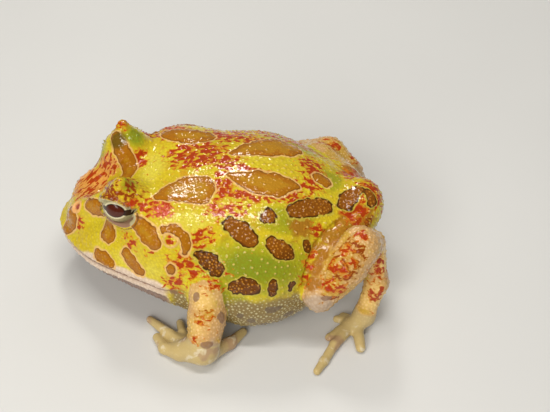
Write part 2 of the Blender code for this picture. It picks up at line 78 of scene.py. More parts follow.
@dataclass(frozen=True)
class FrogPlace:
    """Where the frog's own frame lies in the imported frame."""

    middle_x: float = -0.666
    middle_y: float = 0.878

    def to_metres(self, points: Points) -> Points:
        """Frog millimetres as packed metres."""
        return (np.asarray(points, float) - (self.middle_x, self.middle_y, 0.0)) * MM


PLACE = FrogPlace()


class Profile:
    """A natural cubic through stations (place along the body, value)."""

    def __init__(self, stations: Sequence[tuple[float, float]]) -> None:
        """Works out a fine table of the curve.

        Args:
            stations: Places along the body and the value at each.
        """
        along = np.array([s[0] for s in stations], float)
        value = np.array([s[1] for s in stations], float)
        step = np.diff(along)
        count = len(along)
        matrix, right = np.eye(count), np.zeros(count)
        slope = np.diff(value) / step
        for i in range(1, count - 1):
            matrix[i, i - 1:i + 2] = step[i - 1], 2 * (step[i - 1] + step[i]), step[i]
            right[i] = 6 * (slope[i] - slope[i - 1])
        bend = np.linalg.solve(matrix, right)
        self.places = np.linspace(along[0], along[-1], 1025)
        i = np.clip(np.searchsorted(along, self.places) - 1, 0, count - 2)
        before, after = along[i + 1] - self.places, self.places - along[i]
        self.values = (bend[i] * before**3 + bend[i + 1] * after**3) / (6 * step[i])
        self.values += (value[i] / step[i] - bend[i] * step[i] / 6) * before
        self.values += (value[i + 1] / step[i] - bend[i + 1] * step[i] / 6) * after

    def at(self, y: Values) -> Values:
        """The curve's value at each place."""
        return np.interp(y, self.places, self.values)


def unit(vector: Sequence[float]) -> np.ndarray:
    """The vector at length one."""
    made = np.array(vector, float)
    return made / np.linalg.norm(made)


def on_left(p: Points) -> Points:
    """The points, with those of the right half mirrored to the left."""
    return np.stack([np.abs(p[:, 0]), p[:, 1], p[:, 2]], axis=1)


def apart(p: Points, place: Triple) -> Values:
    """How far points lie from a place."""
    return np.linalg.norm(p - np.array(place), axis=1)


def soft_min(a: Values, b: Values, width: float | Values) -> Values:
    """The lesser of two fields, rounded where they cross over about the given width."""
    share = np.clip(0.5 + 0.5 * (b - a) / width, 0.0, 1.0)
    return b + (a - b) * share - width * share * (1.0 - share)


def bump(distance: Values, width: float | Values) -> Values:
    """A soft hill, one at no distance and gone at about twice the width."""
    return np.exp(-((distance / width) ** 2))


def ramp(value: Values, start: float, end: float) -> Values:
    """Zero before the start, one past the end and smooth between."""
    share = np.clip((value - start) / (end - start), 0.0, 1.0)
    return share * share * (3.0 - 2.0 * share)


def cone_distance(p: Points, start: Joint, end: Joint) -> Values:
    """Distance to a cone that ends in a ball at each joint.

    Args:
        p: The points.
        start: Centre and radius of the first ball.
        end: Centre and radius of the last one.

    Returns:
        The distance of each point, negative inside.
    """
    (a, radius_a), (b, radius_b) = start, end
    axis = np.array(b, float) - np.array(a, float)
    length2 = axis @ axis
    narrowing = radius_a - radius_b
    slope2 = max(length2 - narrowing**2, 1e-6)
    offset = p - np.array(a, float)
    along = offset @ axis
    beyond = along - length2
    across = offset * length2 - along[:, None] * axis
    across2 = np.einsum("ij,ij->i", across, across)
    along2, beyond2 = along**2 * length2, beyond**2 * length2
    edge = np.sign(narrowing) * narrowing**2 * across2
    past_end = np.sign(beyond) * slope2 * beyond2 > edge
    before_start = np.sign(along) * slope2 * along2 < edge
    side = (np.sqrt(across2 * slope2 / length2) + along * narrowing) / length2 - radius_a
    near_start = np.sqrt(across2 + along2) / length2 - radius_a
    near_end = np.sqrt(across2 + beyond2) / length2 - radius_b
    return np.where(past_end, near_end, np.where(before_start, near_start, side))


def ball_distance(p: Points, centre: Triple, radii: Triple) -> Values:
    """Distance to a stretched ball.

    Args:
        p: The points.
        centre: The ball's middle.
        radii: Its radii along x, y and z.

    Returns:
        The distance of each point, negative inside.
    """
    q = (p - np.array(centre)) / np.array(radii)
    inner = np.linalg.norm(q, axis=1)
    outer = np.linalg.norm(q / np.array(radii), axis=1)
    return inner * (inner - 1.0) / np.maximum(outer, 1e-6)


def chain_distance(p: Points, joints: Sequence[Joint], blend: float) -> Values:
    """Distance to a chain of cones through joints, with soft inner bends.

    Args:
        p: The points.
        joints: Centres and radii along the chain.
        blend: How far each bend is rounded.

    Returns:
        The distance of each point, negative inside.
    """
    distance = cone_distance(p, joints[0], joints[1])
    for start, end in zip(joints[1:-1], joints[2:]):
        distance = soft_min(distance, cone_distance(p, start, end), blend)
    return distance


def slope_of(field: Field, p: Points, step: float = 0.04) -> Points:
    """The field's slope at each point.

    Args:
        field: The distance field.
        p: The points.
        step: The small step taken along each axis.

    Returns:
        The slope at each point.
    """
    slope = np.zeros_like(p)
    for axis in range(3):
        ahead, behind = p.copy(), p.copy()
        ahead[:, axis] += step
        behind[:, axis] -= step
        slope[:, axis] = (field(ahead) - field(behind)) / (2 * step)
    return slope


def slide(p: Points, field: Field, rounds: int, reach: float = 1.5) -> Points:
    """Moves points along the field's slope onto its surface.

    Args:
        p: The points.
        field: The distance field.
        rounds: How many steps each point takes.
        reach: The longest step.

    Returns:
        The points on the surface.
    """
    for _ in range(rounds):
        slope = slope_of(field, p)
        steep = np.maximum(np.einsum("ij,ij->i", slope, slope), 0.04)
        p = p - np.clip(field(p) / steep, -reach, reach)[:, None] * slope
    return p


@dataclass(frozen=True)
class Trunk:
    """The trunk and head as one rounded tube, from sections along the body."""

    snout_y: float = -25.6
    rump_y: float = 25.3
    half_width: Profile = Profile([(-27, 11.5), (-23, 14.0), (-18, 15.4), (-12, 16.0), (-6, 16.8),
                                   (0, 17.4), (6, 18.5), (11, 18.5), (15, 17.2), (19.5, 15.4),
                                   (23, 15.2), (27, 15.0)])
    back: Profile = Profile([(-27, 9.2), (-24, 12.4), (-20, 16.4), (-15, 19.4), (-9, 20.8),
                             (-3, 21.4), (4, 22.2), (10, 22.5), (16, 22.3), (21, 21.6), (27, 20.5)])
    belly: Profile = Profile([(-27, 4.0), (-22, 3.0), (-16, 2.6), (-10, 2.0), (-4, 0.6), (2, -0.6),
                              (12, -0.8), (18, 0.0), (22, 3.0), (27, 8.0)])
    widest: Profile = Profile([(-27, 7.6), (-20, 8.6), (-12, 9.2), (-6, 9.0), (2, 8.2), (10, 8.2),
                               (16, 9.5), (21, 12.5), (27, 15.5)])
    roundness_above: Profile = Profile([(-27, 2.1), (-14, 2.2), (-4, 2.1), (8, 2.05), (27, 2.0)])
    roundness_below: Profile = Profile([(-27, 2.2), (-10, 2.6), (0, 2.6), (6, 2.9), (12, 2.9),
                                        (27, 2.0)])

    def ratio(self, p: Points) -> Values:
        """One on the surface of the plain tube, less inside and more outside."""
        x, y, z = p[:, 0], p[:, 1], p[:, 2]
        middle = self.widest.at(y)
        above = z > middle
        power = np.where(above, self.roundness_above.at(y), self.roundness_below.at(y))
        reach = np.where(above, self.back.at(y) - middle, middle - self.belly.at(y))
        across = np.abs(x / self.half_width.at(y)) ** power
        upright = np.abs((z - middle) / reach) ** power
        section = (across + upright + 1e-9) ** (1 / power)
        along = np.where(y < 0, y / self.snout_y, y / self.rump_y)
        return np.sqrt(section**2 + along**2)

    def distance(self, p: Points) -> Values:
        """Distance to the tube."""
        slope = np.linalg.norm(slope_of(self.ratio, p), axis=1)
        return (self.ratio(p) - 1.0) / np.maximum(slope, 1e-4)

    def turned(self, p: Points, angle: float) -> Points:
        """Points slid round the trunk, from its right side up towards its back.

        Args:
            p: The points.
            angle: How far they slide, in radians.

        Returns:
            The points where they come to lie.
        """
        x, y, z = p[:, 0], p[:, 1], p[:, 2]
        middle, wide = self.widest.at(y), self.half_width.at(y)
        tall = self.back.at(y) - middle
        across, upright = x / wide, (z - middle) / tall
        cos, sin = math.cos(angle), math.sin(angle)
        return np.stack([(cos * across + sin * upright) * wide, y,
                         middle + (cos * upright - sin * across) * tall], axis=1)


@dataclass(frozen=True)
class EyeSocket:
    """The left eye and the almond that its lids leave open."""

    centre: Triple = (6.6, -14.9, 17.6)
    radius: float = 2.9
    gaze: Triple = (0.94, -0.1, 0.33)
    lid_slant: Triple = (0.0, 0.96, -0.26)
    half_length: float = 2.7
    open_above: float = 1.3
    open_below: float = 1.9
    rim: float = 0.22
    recess: float = 0.4

    def axes(self) -> tuple[np.ndarray, np.ndarray, np.ndarray]:
        """The gaze, the lids' line and the way up across it."""
        gaze = unit(self.gaze)
        slant = np.array(self.lid_slant)
        line = unit(slant - gaze * (slant @ gaze))
        return gaze, line, np.cross(gaze, line)

    def lids(self, q: Points) -> tuple[Values, Values, Values]:
        """How points lie to the lids.

        Args:
            q: Points on the left half of the head.

        Returns:
            How far each lies outside the almond, how far out along the gaze, and its distance
            from the eye's centre.
        """
        gaze, line, up = self.axes()
        offset = q - np.array(self.centre)
        along, over, out = offset @ line, offset @ up, offset @ gaze
        tall = np.where(over > 0, self.open_above, self.open_below)
        ratio = np.sqrt((along / self.half_length) ** 2 + (over / tall) ** 2)
        edge = (ratio - 1.0) * (self.open_above + self.open_below) / 2
        return edge, out, np.linalg.norm(offset, axis=1)


@dataclass(frozen=True)
class Head:
    """What stands out of the plain tube: lids, horns, brows, lips, shoulders and rump."""

    socket: EyeSocket = EyeSocket()
    lids: tuple[tuple[Triple, Triple], ...] = (((5.9, -13.9, 17.3), (3.95, 3.8, 3.8)),
                                               ((-5.9, -15.5, 17.4), (3.95, 4.2, 3.9)))
    horns: tuple[tuple[Joint, Joint], ...] = ((((6.0, -15.0, 18.2), 3.0), ((6.3, -14.9, 21.5), 1.2)),
                                              (((-6.0, -15.6, 18.4), 3.0), ((-6.8, -16.4, 22.3), 0.9)))
    snout: tuple[Triple, Triple] = ((0.0, -20.2, 10.3), (5.6, 4.1, 4.0))
    brow: tuple[Joint, Joint] = (((4.2, -18.4, 15.4), 1.6), ((3.0, -22.0, 12.2), 1.2))
    shoulder: tuple[Triple, Triple] = ((8.0, -6.8, 14.3), (6.0, 6.4, 5.6))
    vent: tuple[Triple, Triple] = ((0.0, 22.3, 16.2), (3.4, 2.7, 2.6))
    mouth: Profile = Profile([(-27, 7.5), (-24, 7.8), (-19, 8.7), (-13, 9.3), (-8, 9.2), (-4, 8.6)])
    mouth_corner_y: float = -5.0
    lip_rise: float = 0.35
    lip_width: float = 0.7
    lip_offset: float = 0.75
    soft_lid: float = 1.5
    soft_hump: float = 3.0
    soft_horn: float = 1.0
    soft_brow: float = 2.0
    soft_rim: float = 0.35

    def jaw_share(self, p: Points) -> Values:
        """One along the jaw, and none behind the corner of the mouth."""
        return np.clip((self.mouth_corner_y - p[:, 1]) / 3.0, 0.0, 1.0)

    def add_to(self, p: Points, distance: Values) -> Values:
        """The tube's field with the head's forms worked into it.

        Args:
            p: The points.
            distance: The tube's field there.

        Returns:
            The field of head and trunk.
        """
        q = on_left(p)
        distance = soft_min(distance, ball_distance(q, *self.shoulder), self.soft_hump)
        for lid in self.lids:
            distance = soft_min(distance, ball_distance(p, *lid), self.soft_lid)
        distance = soft_min(distance, ball_distance(q, *self.vent), self.soft_hump)
        for horn in self.horns:
            distance = soft_min(distance, cone_distance(p, *horn), self.soft_horn)
        distance = soft_min(distance, ball_distance(q, *self.snout), self.soft_brow)
        distance = soft_min(distance, cone_distance(q, *self.brow), self.soft_brow)
        edge, out, from_eye = self.socket.lids(q)
        distance = distance - self.socket.rim * bump(edge - 0.3, 0.45) * (out > 0)
        below = p[:, 2] - self.mouth.at(p[:, 1])
        lips = bump(np.abs(below) - self.lip_offset, self.lip_width)
        distance = distance - self.lip_rise * self.jaw_share(p) * lips
        bowl = np.maximum(edge, self.socket.radius - self.socket.recess - from_eye)
        bowl = np.where(out > 0, bowl, 9.0)
        return -soft_min(-distance, bowl, self.soft_rim)


@dataclass(frozen=True)
class Limb:
    """A limb as chains of joints from the body out, and its fingers or toes."""

    name: str
    side: int
    chains: tuple[tuple[Joint, ...], ...]
    digits: tuple[Digit, ...]
    pad_flat: float = 0.12
    soft_joint: float = 1.2
    soft_bend: float = 0.35
    soft_palm: float = 0.8
    soft_finger: float = 0.4

    def digit_chains(self) -> list[list[Joint]]:
        """The fingers or toes as chains that lie on the floor."""
        return [[((x, y, r - self.pad_flat), r) for x, y, r in digit] for digit in self.digits]

    def distance(self, p: Points) -> Values:
        """Distance to the limb."""
        distance = chain_distance(p, self.chains[0], self.soft_joint)
        for chain in self.chains[1:]:
            distance = soft_min(distance, chain_distance(p, chain, self.soft_joint), self.soft_bend)
        for digit in self.digit_chains():
            toe = chain_distance(p, digit, self.soft_finger)
            distance = soft_min(distance, toe, self.soft_palm)
        return distance

    def mirrored(self, name: str) -> Limb:
        """The same limb on the other side."""
        chains = tuple(tuple(((-c[0], c[1], c[2]), r) for c, r in chain) for chain in self.chains)
        digits = tuple(tuple((-x, y, r) for x, y, r in digit) for digit in self.digits)
        return Limb(name, -self.side, chains, digits)


LEFT_ARM = Limb(
    "left_arm", 1,
    chains=((((10.5, -5.0, 8.0), 3.6), ((16.0, -0.6, 10.2), 2.8)),
            (((16.0, -0.6, 10.2), 2.8), ((18.8, -0.5, 6.8), 2.7), ((20.8, -0.7, 4.5), 2.65)),
            (((21.5, -0.9, 2.75), 2.75), ((21.2, -3.8, 1.5), 1.7))),
    digits=(((18.8, -3.6, 0.95), (16.8, -4.4, 0.65), (14.7, -5.0, 0.55)),
            ((19.4, -4.4, 1.15), (17.4, -6.4, 0.8), (14.5, -9.8, 0.6)),
            ((21.3, -4.6, 1.3), (20.4, -6.8, 0.9), (18.1, -8.3, 0.65)),
            ((21.0, 0.4, 1.4), (18.6, 3.1, 0.95), (15.8, 5.0, 0.65))))
LEFT_LEG = Limb(
    "left_leg", 1,
    chains=((((5.8, 21.4, 12.9), 3.1), ((10.0, 18.0, 12.5), 2.95), ((14.6, 16.0, 9.4), 2.45)),
            (((15.1, 16.4, 9.2), 2.4), ((13.3, 18.7, 11.7), 2.7), ((12.1, 20.2, 13.6), 3.1),
             ((10.2, 22.0, 15.8), 2.9), ((8.0, 23.9, 14.4), 2.15)),
            (((7.6, 24.2, 13.4), 2.0), ((9.8, 25.4, 7.6), 1.7), ((12.0, 24.0, 2.2), 1.6),
             ((13.0, 22.6, 1.2), 1.2))),
    digits=(((11.9, 22.6, 0.8), (10.8, 20.8, 0.6)),
            ((12.2, 22.2, 0.8), (11.6, 19.8, 0.6)),
            ((12.8, 21.8, 0.9), (14.2, 20.2, 0.7), (15.6, 18.6, 0.6)),
            ((13.2, 21.9, 1.0), (17.2, 19.5, 0.8), (20.6, 17.9, 0.7), (22.6, 16.9, 0.62)),
            ((13.2, 23.0, 1.0), (17.4, 23.6, 0.75))))
RIGHT_LEG = Limb(
    "right_leg", -1,
    chains=((((-6.5, 18.6, 12.6), 4.2), ((-12.2, 15.4, 12.2), 3.5), ((-16.2, 12.8, 10.6), 2.5)),
            (((-16.6, 13.0, 10.4), 2.5), ((-15.2, 17.0, 11.6), 3.1), ((-13.2, 20.5, 11.0), 2.1)),
            (((-13.4, 21.1, 10.2), 2.0), ((-15.6, 22.2, 6.0), 1.7), ((-17.8, 20.8, 2.2), 1.6),
             ((-18.8, 19.4, 1.2), 1.2))),
    digits=(((-17.7, 19.4, 0.8), (-16.4, 17.6, 0.6)),
            ((-18.0, 19.0, 0.8), (-17.6, 16.2, 0.6)),
            ((-18.6, 18.6, 0.9), (-19.8, 15.4, 0.6)),
            ((-19.0, 18.7, 1.0), (-22.0, 15.0, 0.8), (-24.0, 11.9, 0.7), (-25.0, 10.0, 0.62)),
            ((-19.3, 19.7, 1.0), (-23.4, 18.8, 0.75))))


@dataclass(frozen=True)
class Body:
    """The whole frog as one smooth field."""

    trunk: Trunk = Trunk()
    head: Head = Head()
    limbs: tuple[Limb, ...] = (LEFT_ARM, LEFT_ARM.mirrored("right_arm"), LEFT_LEG, RIGHT_LEG)
    soft_shoulder: float = 0.9
    soft_contact: float = 0.15
    soft_floor: float = 0.12

    def torso(self, p: Points) -> Values:
        """Distance to head and trunk without the limbs."""
        return self.head.add_to(p, self.trunk.distance(p))

    def skin(self, p: Points) -> Values:
        """Distance to the frog's skin, flat where it rests on the floor."""
        distance = self.torso(p)
        crease = self.soft_contact + (self.soft_shoulder - self.soft_contact) * ramp(p[:, 2], 3.0, 7.0)
        for limb in self.limbs:
            near = self.reach(limb, p)
            if near.any():
                distance[near] = soft_min(distance[near], limb.distance(p[near]), crease[near])
        return -soft_min(-distance, p[:, 2], self.soft_floor)

    @staticmethod
    def reach(limb: Limb, p: Points, margin: float = 2.0) -> np.ndarray:
        """Which points lie close enough to a limb for it to matter.

        Args:
            limb: The limb.
            p: The points.
            margin: How far from the limb's box they may be.

        Returns:
            True for each such point.
        """
        joints = [joint for chain in (*limb.chains, *limb.digit_chains()) for joint in chain]
        low = np.min([np.array(c) - r for c, r in joints], axis=0) - margin
        high = np.max([np.array(c) + r for c, r in joints], axis=0) + margin
        return np.all((p > low) & (p < high), axis=1)


BODY = Body()


class Sides(Enum):
    """Whether a mark is only where it is set, or has a twin on the frog's other side."""

    ONE = "one"
    BOTH = "both"


class SpotKind(Enum):
    """The sorts of spots on the skin."""

    BACK = "back_spot"
    FLANK = "flank_spot"
    BELLY = "belly_spot"


@dataclass(frozen=True)
class Spot:
    """A rounded spot, as balls set along its middle line: (x, y, z, half width)."""

    kind: SpotKind
    path: SpotPath
    sides: Sides = Sides.BOTH

    def distance(self, p: Points, side: int) -> Values:
        """How far points lie outside the spot, or its twin on the other side.

        Args:
            p: The points.
            side: One for the spot and minus one for its twin.

        Returns:
            The distance of each point, negative inside.
        """
        joints = [((side * x, y, z), r) for x, y, z, r in self.path]
        if len(joints) == 1:
            (centre, radius), = joints
            return apart(p, centre) - radius
        return chain_distance(p, joints, 0.6)


def spots(kind: SpotKind, sides: Sides, *paths: SpotPath) -> tuple[Spot, ...]:
    """Spots of one kind along several middle lines."""
    return tuple(Spot(kind, path, sides) for path in paths)


SPOTS = (
    *spots(SpotKind.BACK, Sides.ONE,
        ((6.8, -8.9, 20, 0.8), (6.2, -7.2, 20.4, 1.7), (5.6, -5.2, 20.7, 2.4), (5.5, -3.4, 20.8, 2.8)),
        ((-8.4, -9.6, 19.8, 1), (-7.6, -7.6, 20.4, 1.6), (-7.2, -5.4, 20.5, 1.9), (-7.6, -3.4, 20.4, 1.7)),
        ((2.6, 1.3, 21.7, 0.4), (3.4, 3.4, 21.8, 1.3), (3.9, 6, 21.7, 2.2), (3.8, 8.4, 21.4, 2.2),
         (3.2, 10.8, 21, 1), (3, 11.9, 20.8, 0.5)),
        ((-2.5, 1.6, 21.9, 0.5), (-3.7, 4.2, 21.8, 1.6), (-4.9, 6.8, 21.4, 2.4), (-5.8, 9, 20.9, 2.5),
         (-6.2, 10.9, 20.3, 1.6)),
        ((-0.3, 15.2, 19.9, 1.1), (0.1, 16.2, 19.6, 1.1)),
        ((-5.2, -17, 20.9, 0.9), (-3.6, -16.2, 20.2, 1.15), (-2.3, -15.2, 19, 1.15),
         (-1.2, -14.8, 18.1, 1.2), (0.3, -15.4, 17.6, 1.1), (2.5, -16, 18.6, 1.1), (4.5, -16.6, 20.2, 1))),
    *spots(SpotKind.BACK, Sides.BOTH,
        ((4.1, -23.1, 12.2, 1.2), (3.9, -23.6, 10.7, 1.75), (4, -24, 9.6, 1.4)),
        ((4.8, -20.2, 15.3, 0.9), (5.5, -19.2, 15.6, 1.2), (6.2, -18.2, 15.9, 1.1)),
        ((8.7, -16.7, 14.6, 1.2), (9.3, -16.5, 13.8, 1.4)),
        ((10.3, -12.2, 17.9, 0.8), (11.5, -11.1, 17.6, 1.25), (12.6, -9.9, 17.3, 1.3), (13.5, -9, 16.7, 1)),
        ((12.4, -7.6, 18.5, 0.6), (12.3, -6.1, 18.7, 0.65), (12.9, -4.7, 18, 0.6), (13.8, -4.2, 16.9, 0.55),
         (14.4, -4.4, 16, 0.45)),
        ((15.5, -6.3, 13.3, 0.85),),
        ((10.7, -18.2, 10.8, 0.9), (11.6, -17.1, 10.7, 0.9), (12.5, -15.9, 10.4, 0.8)),
        ((12.7, -13.5, 13.1, 0.9), (13.6, -12.5, 12.3, 1), (14.4, -11.1, 11.4, 0.8))),
    *spots(SpotKind.FLANK, Sides.BOTH,
        ((14.4, -2.2, 15.9, 0.8), (15, -0.9, 15.3, 1.2), (15.7, 0.7, 14.5, 1.2)),
        ((11, 2.3, 19.2, 1.2), (11.8, 3.7, 18.8, 1.4), (12.8, 5.4, 18, 1.2)),
        ((9.3, 7.8, 19.8, 1.2),),
        ((12.7, 8.6, 17.7, 1), (13.2, 10, 16.8, 1.4), (13.2, 11.4, 16.1, 0.9)),
        ((11.1, 13.9, 16.6, 0.8), (11.6, 14.3, 15.9, 0.7)),
        ((17.3, 3.5, 11.9, 1), (17.1, 4.9, 12.5, 1.2), (17.2, 6.5, 12.3, 0.9)),
        ((16.6, 9.2, 12.6, 0.8), (17, 9.4, 11.3, 0.8)),
        ((15.5, 12.2, 12, 0.5), (16.4, 12.2, 10.7, 0.5))),
    *spots(SpotKind.FLANK, Sides.ONE,
        ((7.6, 11.6, 19.7, 1.1), (6.8, 12.8, 19.5, 1.3), (5.9, 14.3, 19.3, 1.5), (5.2, 15.9, 18.9, 1.4),
         (4.9, 16.8, 18.6, 0.9)),
        ((3.4, 19.4, 18, 1.1), (2.1, 20.2, 18.4, 1.3), (0.9, 21.5, 18.8, 0.9)),
        ((2.4, 23.6, 18, 0.9), (1.2, 23.2, 18.7, 0.8))),
    *spots(SpotKind.BELLY, Sides.BOTH,
        ((18, 4.5, 6.9, 0.8),),
        ((17.5, 8.8, 8, 0.7), (17.1, 10.4, 8, 0.7)),
        ((16, 11.9, 5.6, 0.7),),
        ((17.8, 6.4, 5.3, 0.7),),
        ((16.8, 8.3, 3.7, 0.6),),
        ((16.9, -0.5, 6.2, 0.8),)),
)


@dataclass(frozen=True)
class Patch:
    """A soft-edged patch of one tone, on one side or with a twin on the other."""

    centre: Triple
    radii: Triple
    strength: float = 1.0
    sides: Sides = Sides.BOTH

    def share(self, p: Points) -> Values:
        """How much of the patch's tone points have."""
        q = on_left(p) if self.sides is Sides.BOTH else p
        q = (q - np.array(self.centre)) / np.array(self.radii)
        return self.strength * np.exp(-np.einsum("ij,ij->i", q, q))


def patched(p: Points, group: Sequence[Patch]) -> Values:
    """The strongest of several patches at each point."""
    return np.max([patch.share(p) for patch in group], axis=0)


def patches(sides: Sides, *rows: tuple[float, ...]) -> tuple[Patch, ...]:
    """Patches from rows of seven numbers.

    Args:
        sides: Where the patches are.
        rows: For each patch its centre, its radii along x, y and z, and its strength.

    Returns:
        The patches.
    """
    return tuple(Patch(row[:3], row[3:6], row[6], sides) for row in rows)


GREEN = (
    *patches(Sides.ONE, (-5.4, -14.2, 21.4, 1.6, 1.5, 1.5, 1.5), (6, -13.3, 21.8, 1.6, 1.4, 1, 1.5),
        (-5.2, -18.8, 17.2, 1.6, 2, 2.4, 0.9), (-1, 17.5, 19, 3.5, 2.2, 2, 0.7)),
    *patches(Sides.BOTH, (15.2, 7, 14.6, 3.8, 8.5, 4, 1.2), (9, 11, 19, 2.8, 5.5, 2, 0.9),
        (17.5, 2, 11, 2, 4, 4, 0.8)))
LEMON = (
    *patches(Sides.ONE, (-0.5, -11, 19.5, 4.5, 2.6, 3, 1), (-1.4, 7.5, 22, 1.2, 6.5, 1.5, 0.5),
        (10.2, 23.9, 18.2, 1.5, 1.7, 1.3, 1.3), (13.2, 19.6, 16.6, 1.2, 1.4, 1.2, 1)),
    *patches(Sides.BOTH, (11.2, -4, 19.2, 1.8, 3.4, 1.8, 1.2), (11.5, -19, 12, 2.4, 2.6, 2.4, 1),
        (13.4, -14, 12.4, 2.4, 4, 2.4, 0.9), (15, -9, 12, 1.6, 2.6, 2.4, 0.7)))
RED = (
    *patches(Sides.ONE, (-11.5, -9.5, 18.5, 3, 4, 3, 1.1), (-9, -2, 20, 2.5, 2.5, 2, 1.1),
        (-2.6, -13, 19, 1.8, 1.2, 2, 1.1), (-2.6, -4.4, 21, 3.8, 5, 2.4, 1.2),
        (0.2, 0.8, 21.8, 2.6, 2.6, 2, 1.1), (4.4, 0.6, 21.4, 3.4, 1.7, 2, 1.25),
        (1.3, 4, 22, 0.8, 3.6, 1.5, 0.95), (6.3, 4.6, 21.2, 1.2, 4.8, 1.5, 1.1),
        (5.4, 11, 20.6, 1.8, 3, 1.6, 0.95), (-2, 14, 20, 3.8, 2.4, 2, 1),
        (2, 13.6, 20.2, 2.2, 2.6, 1.5, 0.95), (-7, 3.2, 21, 1.4, 4.8, 2, 1.1),
        (1, 23.4, 18.3, 3.6, 3, 2.4, 1.2), (11.1, 22, 18.9, 1.1, 1.1, 1.1, 1.1),
        (12.7, 19.8, 17.2, 1.1, 1.1, 1.1, 1.1), (14.4, 18.3, 15.2, 1, 1, 1.2, 1.1),
        (15.2, 19.6, 15, 0.8, 0.8, 1, 1), (14.2, 20.7, 16.4, 0.8, 0.8, 1, 0.9),
        (-10.4, 8.6, 18.4, 2.4, 5, 2.4, 1.15), (-11, 2, 18.8, 1.8, 3, 2, 0.9),
        (11.4, 25.4, 7, 1.5, 1.5, 2.6, 0.8), (13.2, 24.2, 13.6, 1.2, 1.2, 1.4, 0.7),
        (12.2, 14.6, 14.8, 1, 1, 1.6, 0.8), (14.3, 14, 12, 1, 1, 1.6, 0.8),
        (15.9, 18.4, 12.6, 1.5, 2, 1.4, 1), (10.4, 25.4, 12, 1.6, 1.6, 4, 0.75),
        (-14.2, 17.5, 15, 2, 3, 1.6, 0.75), (-13.8, 21.4, 12.8, 1.6, 1.4, 1.4, 0.7),
        (-6.6, -16.4, 22.4, 1.2, 1.2, 1.4, 0.8)),
    *patches(Sides.BOTH, (8.8, -8.8, 19.8, 2, 3.2, 1.6, 1.1), (8.8, 1.4, 20.2, 2.4, 4, 1.6, 0.9),
        (8.6, -12, 19.4, 1, 1.5, 1.4, 1.15), (12, -12.8, 15, 1.5, 2, 1.3, 1),
        (12.4, -1.6, 17.8, 1.8, 2.2, 1.6, 0.75), (13.6, -2.6, 17, 1.2, 1.8, 1.2, 0.95),
        (15.2, -4.2, 14, 1.8, 2.8, 2.6, 1), (16.2, -5.2, 11.2, 1.4, 2.2, 1.8, 0.85),
        (14.2, -9.6, 14.9, 0.8, 1.3, 0.7, 0.9), (5.6, -21.7, 12, 0.9, 0.9, 1.7, 0.9),
        (17.2, 0.4, 12.6, 1.6, 2.6, 1.6, 0.7), (20.8, -0.6, 8.6, 2, 2, 2.4, 0.45),
        (22.7, -2, 5.9, 1.4, 1.4, 1.4, 0.5), (15.6, 1.4, 14, 1.4, 1.8, 1.4, 0.8),
        (4.4, 21.2, 17.4, 2.6, 2.4, 1.8, 1.1), (13.4, -6.5, 17.5, 0.8, 0.8, 0.8, 1),
        (8.6, 15.6, 17.4, 1.2, 1.8, 1.6, 0.85), (13.2, 14.2, 13.4, 1, 1.4, 2.2, 0.6),
        (10.4, -21.4, 9.8, 0.9, 1.2, 1.1, 0.6)))
STREAK = patches(Sides.ONE, (-0.9, -21.2, 14.4, 3.4, 3.2, 2.8, 1.1), (-2.7, -18.4, 17.2, 1.7, 2, 2.2, 1.1),
    (2.4, -19.4, 15, 1.8, 1.8, 1.4, 0.8))
UMBER = (
    *patches(Sides.ONE, (8.4, -12.6, 20, 2, 2, 1.6, 1.2), (7.6, -15.9, 20.4, 2.8, 2.4, 2.2, 1.15),
        (6.4, -13.6, 21.6, 3, 3.4, 1.8, 0.8), (12.9, 20.2, 17, 2, 2.6, 2.6, 1.15),
        (14.8, 19, 14.4, 1.9, 2.4, 2.4, 1.15), (16.2, 18.2, 12, 1.6, 2, 1.8, 1)),
    *patches(Sides.BOTH, (4.4, 21.4, 16.6, 3.4, 3, 2.4, 1.25), (8.6, 14.8, 17.4, 1.6, 2, 1.6, 0.8),
        (20.2, -0.8, 9, 1.6, 1.8, 2, 0.75)))
AMBER = (
    *patches(Sides.ONE, (9, 25.2, 12.4, 2.4, 2.2, 3.4, 1.2), (11.4, 25, 6, 2.6, 2.6, 4, 1.2),
        (13.6, 22.8, 2, 4, 4, 2.4, 1.1)),
    *patches(Sides.BOTH, (18.6, -1, 10.6, 3, 3, 2.4, 0.9), (21, -1.6, 7, 3, 2.4, 3, 0.7)))
BROWN = (
    *patches(Sides.ONE, (-6.2, -16.6, 20.6, 1.6, 2.2, 3, 0.8), (6.8, 19.5, 16.4, 1.7, 1.7, 1.6, 1.15),
        (9, 17.7, 15.9, 1.9, 1.8, 1.8, 1.15), (11.3, 16.1, 15, 1.8, 1.6, 1.9, 1.15),
        (13, 15.4, 13.2, 1.7, 1.5, 1.9, 1.15), (14.8, 15.2, 11.8, 1.5, 1.4, 1.8, 1)),
    *patches(Sides.BOTH, (4.6, 21.4, 16.4, 3.4, 3, 2.6, 1.2), (9.4, 12.8, 18, 2.2, 2.6, 2, 1)))
PINK = patches(Sides.BOTH, (9.6, -8.4, 19.7, 2.4, 3.2, 1.6, 1), (8.7, 0.6, 20.2, 1.6, 3.8, 1.4, 0.8))
TAUPE = (
    *patches(Sides.ONE, (17.1, 17.8, 10.9, 0.7, 1.4, 0.5, 1.1)),
    *patches(Sides.BOTH, (18.5, -2.2, 10.8, 0.8, 0.7, 0.9, 1.2), (20, 1.8, 8.4, 0.8, 0.8, 1.6, 1.3),
        (23, -0.2, 5.4, 0.8, 1.1, 0.8, 1.2), (16.4, -6, 9.4, 0.8, 1, 0.7, 1.2)))
OLIVE = patches(Sides.ONE, (-4.5, -16.7, 21, 1.5, 1.5, 1.6, 1))
PALE = (
    *patches(Sides.ONE, (17, 16.2, 9.6, 2.2, 2.8, 2, 1.25)),
    *patches(Sides.BOTH, (23, 1, 4, 1.6, 1.6, 4, 0.9), (22.6, -1, 3, 2.6, 3.2, 2.4, 1)))


